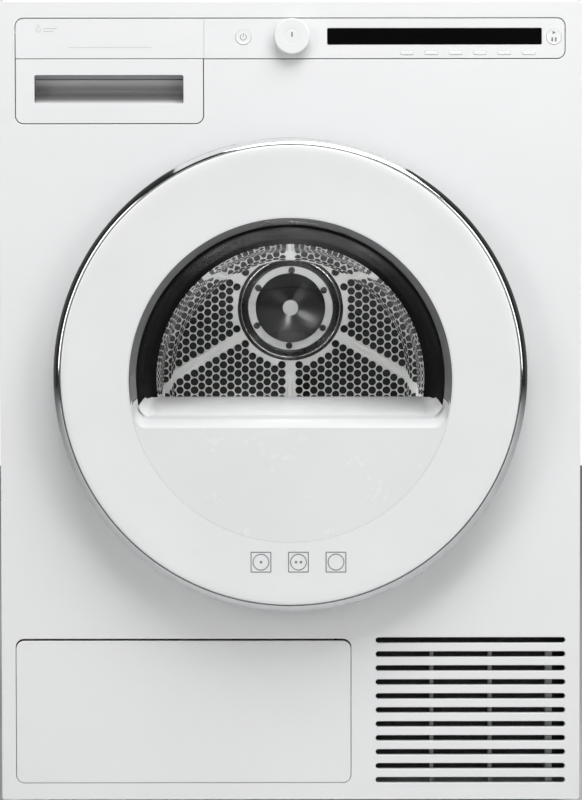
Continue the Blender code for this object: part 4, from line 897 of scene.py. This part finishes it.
def build_perforated_face(cells):
    outlines = [circle(0, DRUM_Z, 0.2795, 128), circle(0, DRUM_Z, 0.0560, 96)]
    outlines += [circle(cx, DRUM_Z + cz, HOLE_RADIUS + 0.0005, 12) for cx, cz in cells]
    curve_back = FRONT_Y - BACK_Y
    mesh = plate_mesh(outlines, curve_back - 0.0002, curve_back, 0.0)
    finish_mesh(link("drum_back_sheet", mesh), BACK_STEEL, "drum", slot="drum_back",
                replaces=("drum_back",), weighted=False)


def build_spoke_ribs():
    """Two embossed ribs on each plain spoke."""
    builder = bmesh.new()
    for spoke in range(6):
        angle = math.radians(30 + 60 * spoke)
        along, across = (Vector((math.cos(angle), math.sin(angle))),
                         Vector((-math.sin(angle), math.cos(angle))))
        for side in (-1, 1):
            rows = []
            stations = 14
            for i in range(stations + 1):
                t = i / stations
                radius = 0.0860 + 0.0840 * t
                spread = side * (0.0030 + 0.0010 * t)
                taper = min(1.0, t * 8, (1 - t) * 8)
                row = []
                for k in range(7):
                    u = -1 + k / 3
                    width = 0.0018 * (0.3 + 0.7 * taper)
                    p = along * radius + across * (spread + u * width)
                    rise = 0.0016 * taper * (1 - u * u)
                    row.append(builder.verts.new((p.x, BACK_Y - rise + 0.00005, DRUM_Z + p.y)))
                rows.append(row)
            for a, b in zip(rows, rows[1:]):
                for k in range(6):
                    builder.faces.new((a[k], a[k + 1], b[k + 1], b[k]))
    build("drum_back_ribs", builder, BACK_STEEL, "drum", slot="drum_back", angle=80, weighted=False)


def build_hub():
    base = FRONT_Y - BACK_Y

    def ring(name, profile, material, **more):
        return turned(name, [(r, base + d) for r, d in profile], (0, 0, DRUM_Z), material, "drum", **more)

    # Painted shade: the raised flange ring is dark as if it were a shadowed groove.
    ring("hub_flange", [(0.0560, -0.0030), (0.0640, -0.0030), (0.0640, 0.0006), (0.0622, 0.0030),
                        (0.0606, 0.0036), (0.0560, 0.0010)], DARK_METAL, slot="drum_hub", soften=0.0008)
    ring("hub_bead", [(0.0585, 0.0010), (0.0603, 0.0010), (0.0603, 0.0042), (0.0597, 0.0052),
                      (0.0590, 0.0052), (0.0585, 0.0040)], POLISHED, slot="drum_hub", soften=0.0005)
    ring("hub_step", [(0.0400, -0.0010), (0.0584, -0.0010), (0.0584, 0.0030), (0.0530, 0.0070),
                      (0.0400, 0.0070)], DARK_METAL, slot="drum_hub", soften=0.0008, replaces=("drum_hub",))
    ring("hub_ring", [(0.0400, 0.0068), (0.0512, 0.0068), (0.0512, 0.0098), (0.0506, 0.0105),
                      (0.0424, 0.0105), (0.0400, 0.0100)], SATIN_STEEL, slot="drum_hub", soften=0.0004)
    ring("hub_cone", [(0.0, 0.0070), (0.0420, 0.0070), (0.0420, 0.0112), (0.0410, 0.0118), (0.0100, 0.0262),
                      (0.0, 0.0262)], CONE, slot="drum_hub")
    ring("hub_cap", [(0.0, 0.0250), (0.0094, 0.0250), (0.0094, 0.0268), (0.0086, 0.0276), (0.0, 0.0279)],
         SATIN_STEEL, slot="drum_hub", steps=48, soften=0.0003)
    for i in range(6):
        angle = math.radians(88 + 60 * i)
        x, z = 0.0458 * math.cos(angle), DRUM_Z + 0.0458 * math.sin(angle)
        screw = [(0.0, base + 0.0100), (0.0040, base + 0.0100), (0.0040, base + 0.0118),
                 (0.0034, base + 0.0126), (0.0019, base + 0.0128), (0.0017, base + 0.0112),
                 (0.0, base + 0.0110)]
        turned(f"hub_screw_{i + 1}", screw, (x, 0, z), DARK_METAL, "drum", slot="drum_hub", steps=24,
               soften=0.0002)


def build_drum():
    cells = build_drum_back()
    build_perforated_face(cells)
    build_spoke_ribs()
    build_hub()
    y0, y1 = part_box("drum_shell")[0][1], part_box("drum_shell")[1][1]
    r, t = DRUM_RADIUS, 0.0010
    profile = [(0.2760, y0), (r - 0.004, y0), (r - 0.001, y0 + 0.002), (r, y0 + 0.005), (r, y1),
               (r - 0.006, y1), (r - 0.006, y1 - t), (r - t, y1 - t), (r - t, y0 + 0.0060),
               (r - 0.003, y0 + 0.003), (0.2760, y0 + t)]
    mesh = turn_mesh(smooth_profile(profile, 0.0006, True), (0, 0, DRUM_Z), "Y", 128, True)
    finish_mesh(link("drum_shell_skin", mesh), STEEL, "drum", slot="drum_shell", replaces=("drum_shell",))


# ---------------------------------------------------------------- carried-over CAD pieces

KEPT = {
    "left_side_panel": ENAMEL, "right_side_panel": ENAMEL, "worktop": ENAMEL, "rear_panel": GALVANISED,
    # Painted shade: the rear bulkhead takes black plastic so that the drum's holes show dark behind them.
    "rear_duct_cover": DUCT, "base_tray": GREY, "front_bulkhead": GALVANISED, "rear_bulkhead": BLACK,
    "door_seal": SEAL, "lint_filter": GREY, "condenser": ALUMINIUM, "heater_duct": GREY,
    "motor_stator": GALVANISED, "drain_pump": BLACK, "control_board": GREY, "container_sleeve": GREY,
    "water_container": PALE_GREY, "cable_gland": BLACK, "hinge_bracket": GALVANISED, "hinge_pin": POLISHED,
    "latch_housing": BLACK, "drive_belt": RUBBER, "door_hook": GALVANISED, "door_hinge_leaf": GALVANISED,
    "drum_axle": GALVANISED, "drum_lifter_1": PALE_GREY, "drum_lifter_2": PALE_GREY,
    "drum_lifter_3": PALE_GREY, "motor_shaft": GALVANISED, "cooling_fan": BLACK, "process_fan": BLACK,
    "idler_arm": GALVANISED, "idler_wheel": BLACK, "foot_front_left": RUBBER, "foot_front_right": RUBBER,
    "foot_rear_left": RUBBER, "foot_rear_right": RUBBER,
}


def dress_kept_nodes():
    for name, material in KEPT.items():
        node = NODES[name]
        for index in range(max(1, len(node.material_slots))):
            if node.material_slots:
                node.material_slots[index].material = material
            else:
                node.data.materials.append(material)


# ---------------------------------------------------------------- studio

def area_light(name, location, target, size, power, hidden=False):
    data = bpy.data.lights.new(name, "AREA")
    data.shape = "RECTANGLE"
    data.size, data.size_y = size
    data.energy = power
    light = bpy.data.objects.new(name, data)
    light.location = location
    light.rotation_euler = (Vector(target) - Vector(location)).to_track_quat("-Z", "Y").to_euler()
    light.visible_camera = not hidden
    bpy.context.scene.collection.objects.link(light)
    return light


def build_studio():
    builder = bmesh.new()
    bmesh.ops.create_grid(builder, x_segments=1, y_segments=1, size=6.0)
    mesh = bpy.data.meshes.new("studio_floor")
    builder.to_mesh(mesh)
    builder.free()
    floor = link("studio_floor", mesh)
    floor.location = (0, 0, -0.0005)
    floor.data.materials.append(FLOOR)

    world = bpy.data.worlds.new("studio")
    bpy.context.scene.world = world
    world.use_nodes = True
    tree = world.node_tree
    background = tree.nodes["Background"]
    background.inputs["Color"].default_value = (1.0, 1.0, 1.0, 1.0)
    space = tree.nodes.new("ShaderNodeTexCoord")
    axes = tree.nodes.new("ShaderNodeSeparateXYZ")
    ramp = tree.nodes.new("ShaderNodeValToRGB")
    stops = ramp.color_ramp.elements
    stops[0].position, stops[1].position = 0.0, 0.985
    for position in (0.3, 0.93):
        stops.new(position)
    for stop, level in zip(stops, (0.035, 0.20, 0.25, 1.0)):
        stop.color = (level, level, level, 1.0)
    tree.links.new(space.outputs["Generated"], axes.inputs["Vector"])
    tree.links.new(axes.outputs["Y"], ramp.inputs["Fac"])
    tree.links.new(ramp.outputs["Color"], background.inputs["Color"])

    area_light("overhead_softbox", (0.5, -1.6, 2.8), (0.0, -0.3, 0.45), (2.4, 1.4), 74)
    area_light("top_panel", (0.0, -0.62, 2.7), (0.0, -0.55, 0.8), (2.6, 1.3), 12)
    area_light("left_softbox", (-2.6, -3.0, 1.6), (0.0, 0.0, 0.45), (1.4, 2.4), 33)
    area_light("right_softbox", (2.6, -3.0, 1.6), (0.0, 0.0, 0.45), (1.4, 2.4), 30)
    area_light("drum_light_left", (-0.13, -0.15, 0.67), (-0.05, 0.24, 0.50), (0.12, 0.05), 0.34, True)
    area_light("drum_light_right", (0.13, -0.15, 0.67), (0.05, 0.24, 0.50), (0.12, 0.05), 0.34, True)
    area_light("drum_light_low", (-0.05, -0.02, 0.30), (0.0, 0.22, 0.50), (0.05, 0.04), 0.35, True)
    area_light("drum_light_side", (0.225, 0.0, 0.40), (0.0, 0.22, 0.50), (0.03, 0.05), 0.10, True)
    area_light("sill_light", (0.0, -0.27, 0.600), (0.0, -0.25, 0.43), (0.16, 0.02), 0.19, True)
    bpy.context.scene.view_settings.view_transform = "Standard"
    bpy.context.scene.view_settings.look = "None"


def build_camera():
    data = bpy.data.cameras.new("camera")
    data.sensor_fit = "VERTICAL"
    data.sensor_height = 36.0
    data.lens = 127.3
    camera = bpy.data.objects.new("camera", data)
    camera.location = (0.0007, FRONT_Y - 2.9, 0.5366)
    camera.rotation_euler = (math.radians(90 - 2.02), math.radians(0.056), 0.0)
    data.clip_end = 50
    bpy.context.scene.collection.objects.link(camera)
    bpy.context.scene.camera = camera


build_camera()
build_front_panel()
build_controls()
build_drawer()
build_flap()
build_door()
build_drum()
dress_kept_nodes()
build_studio()
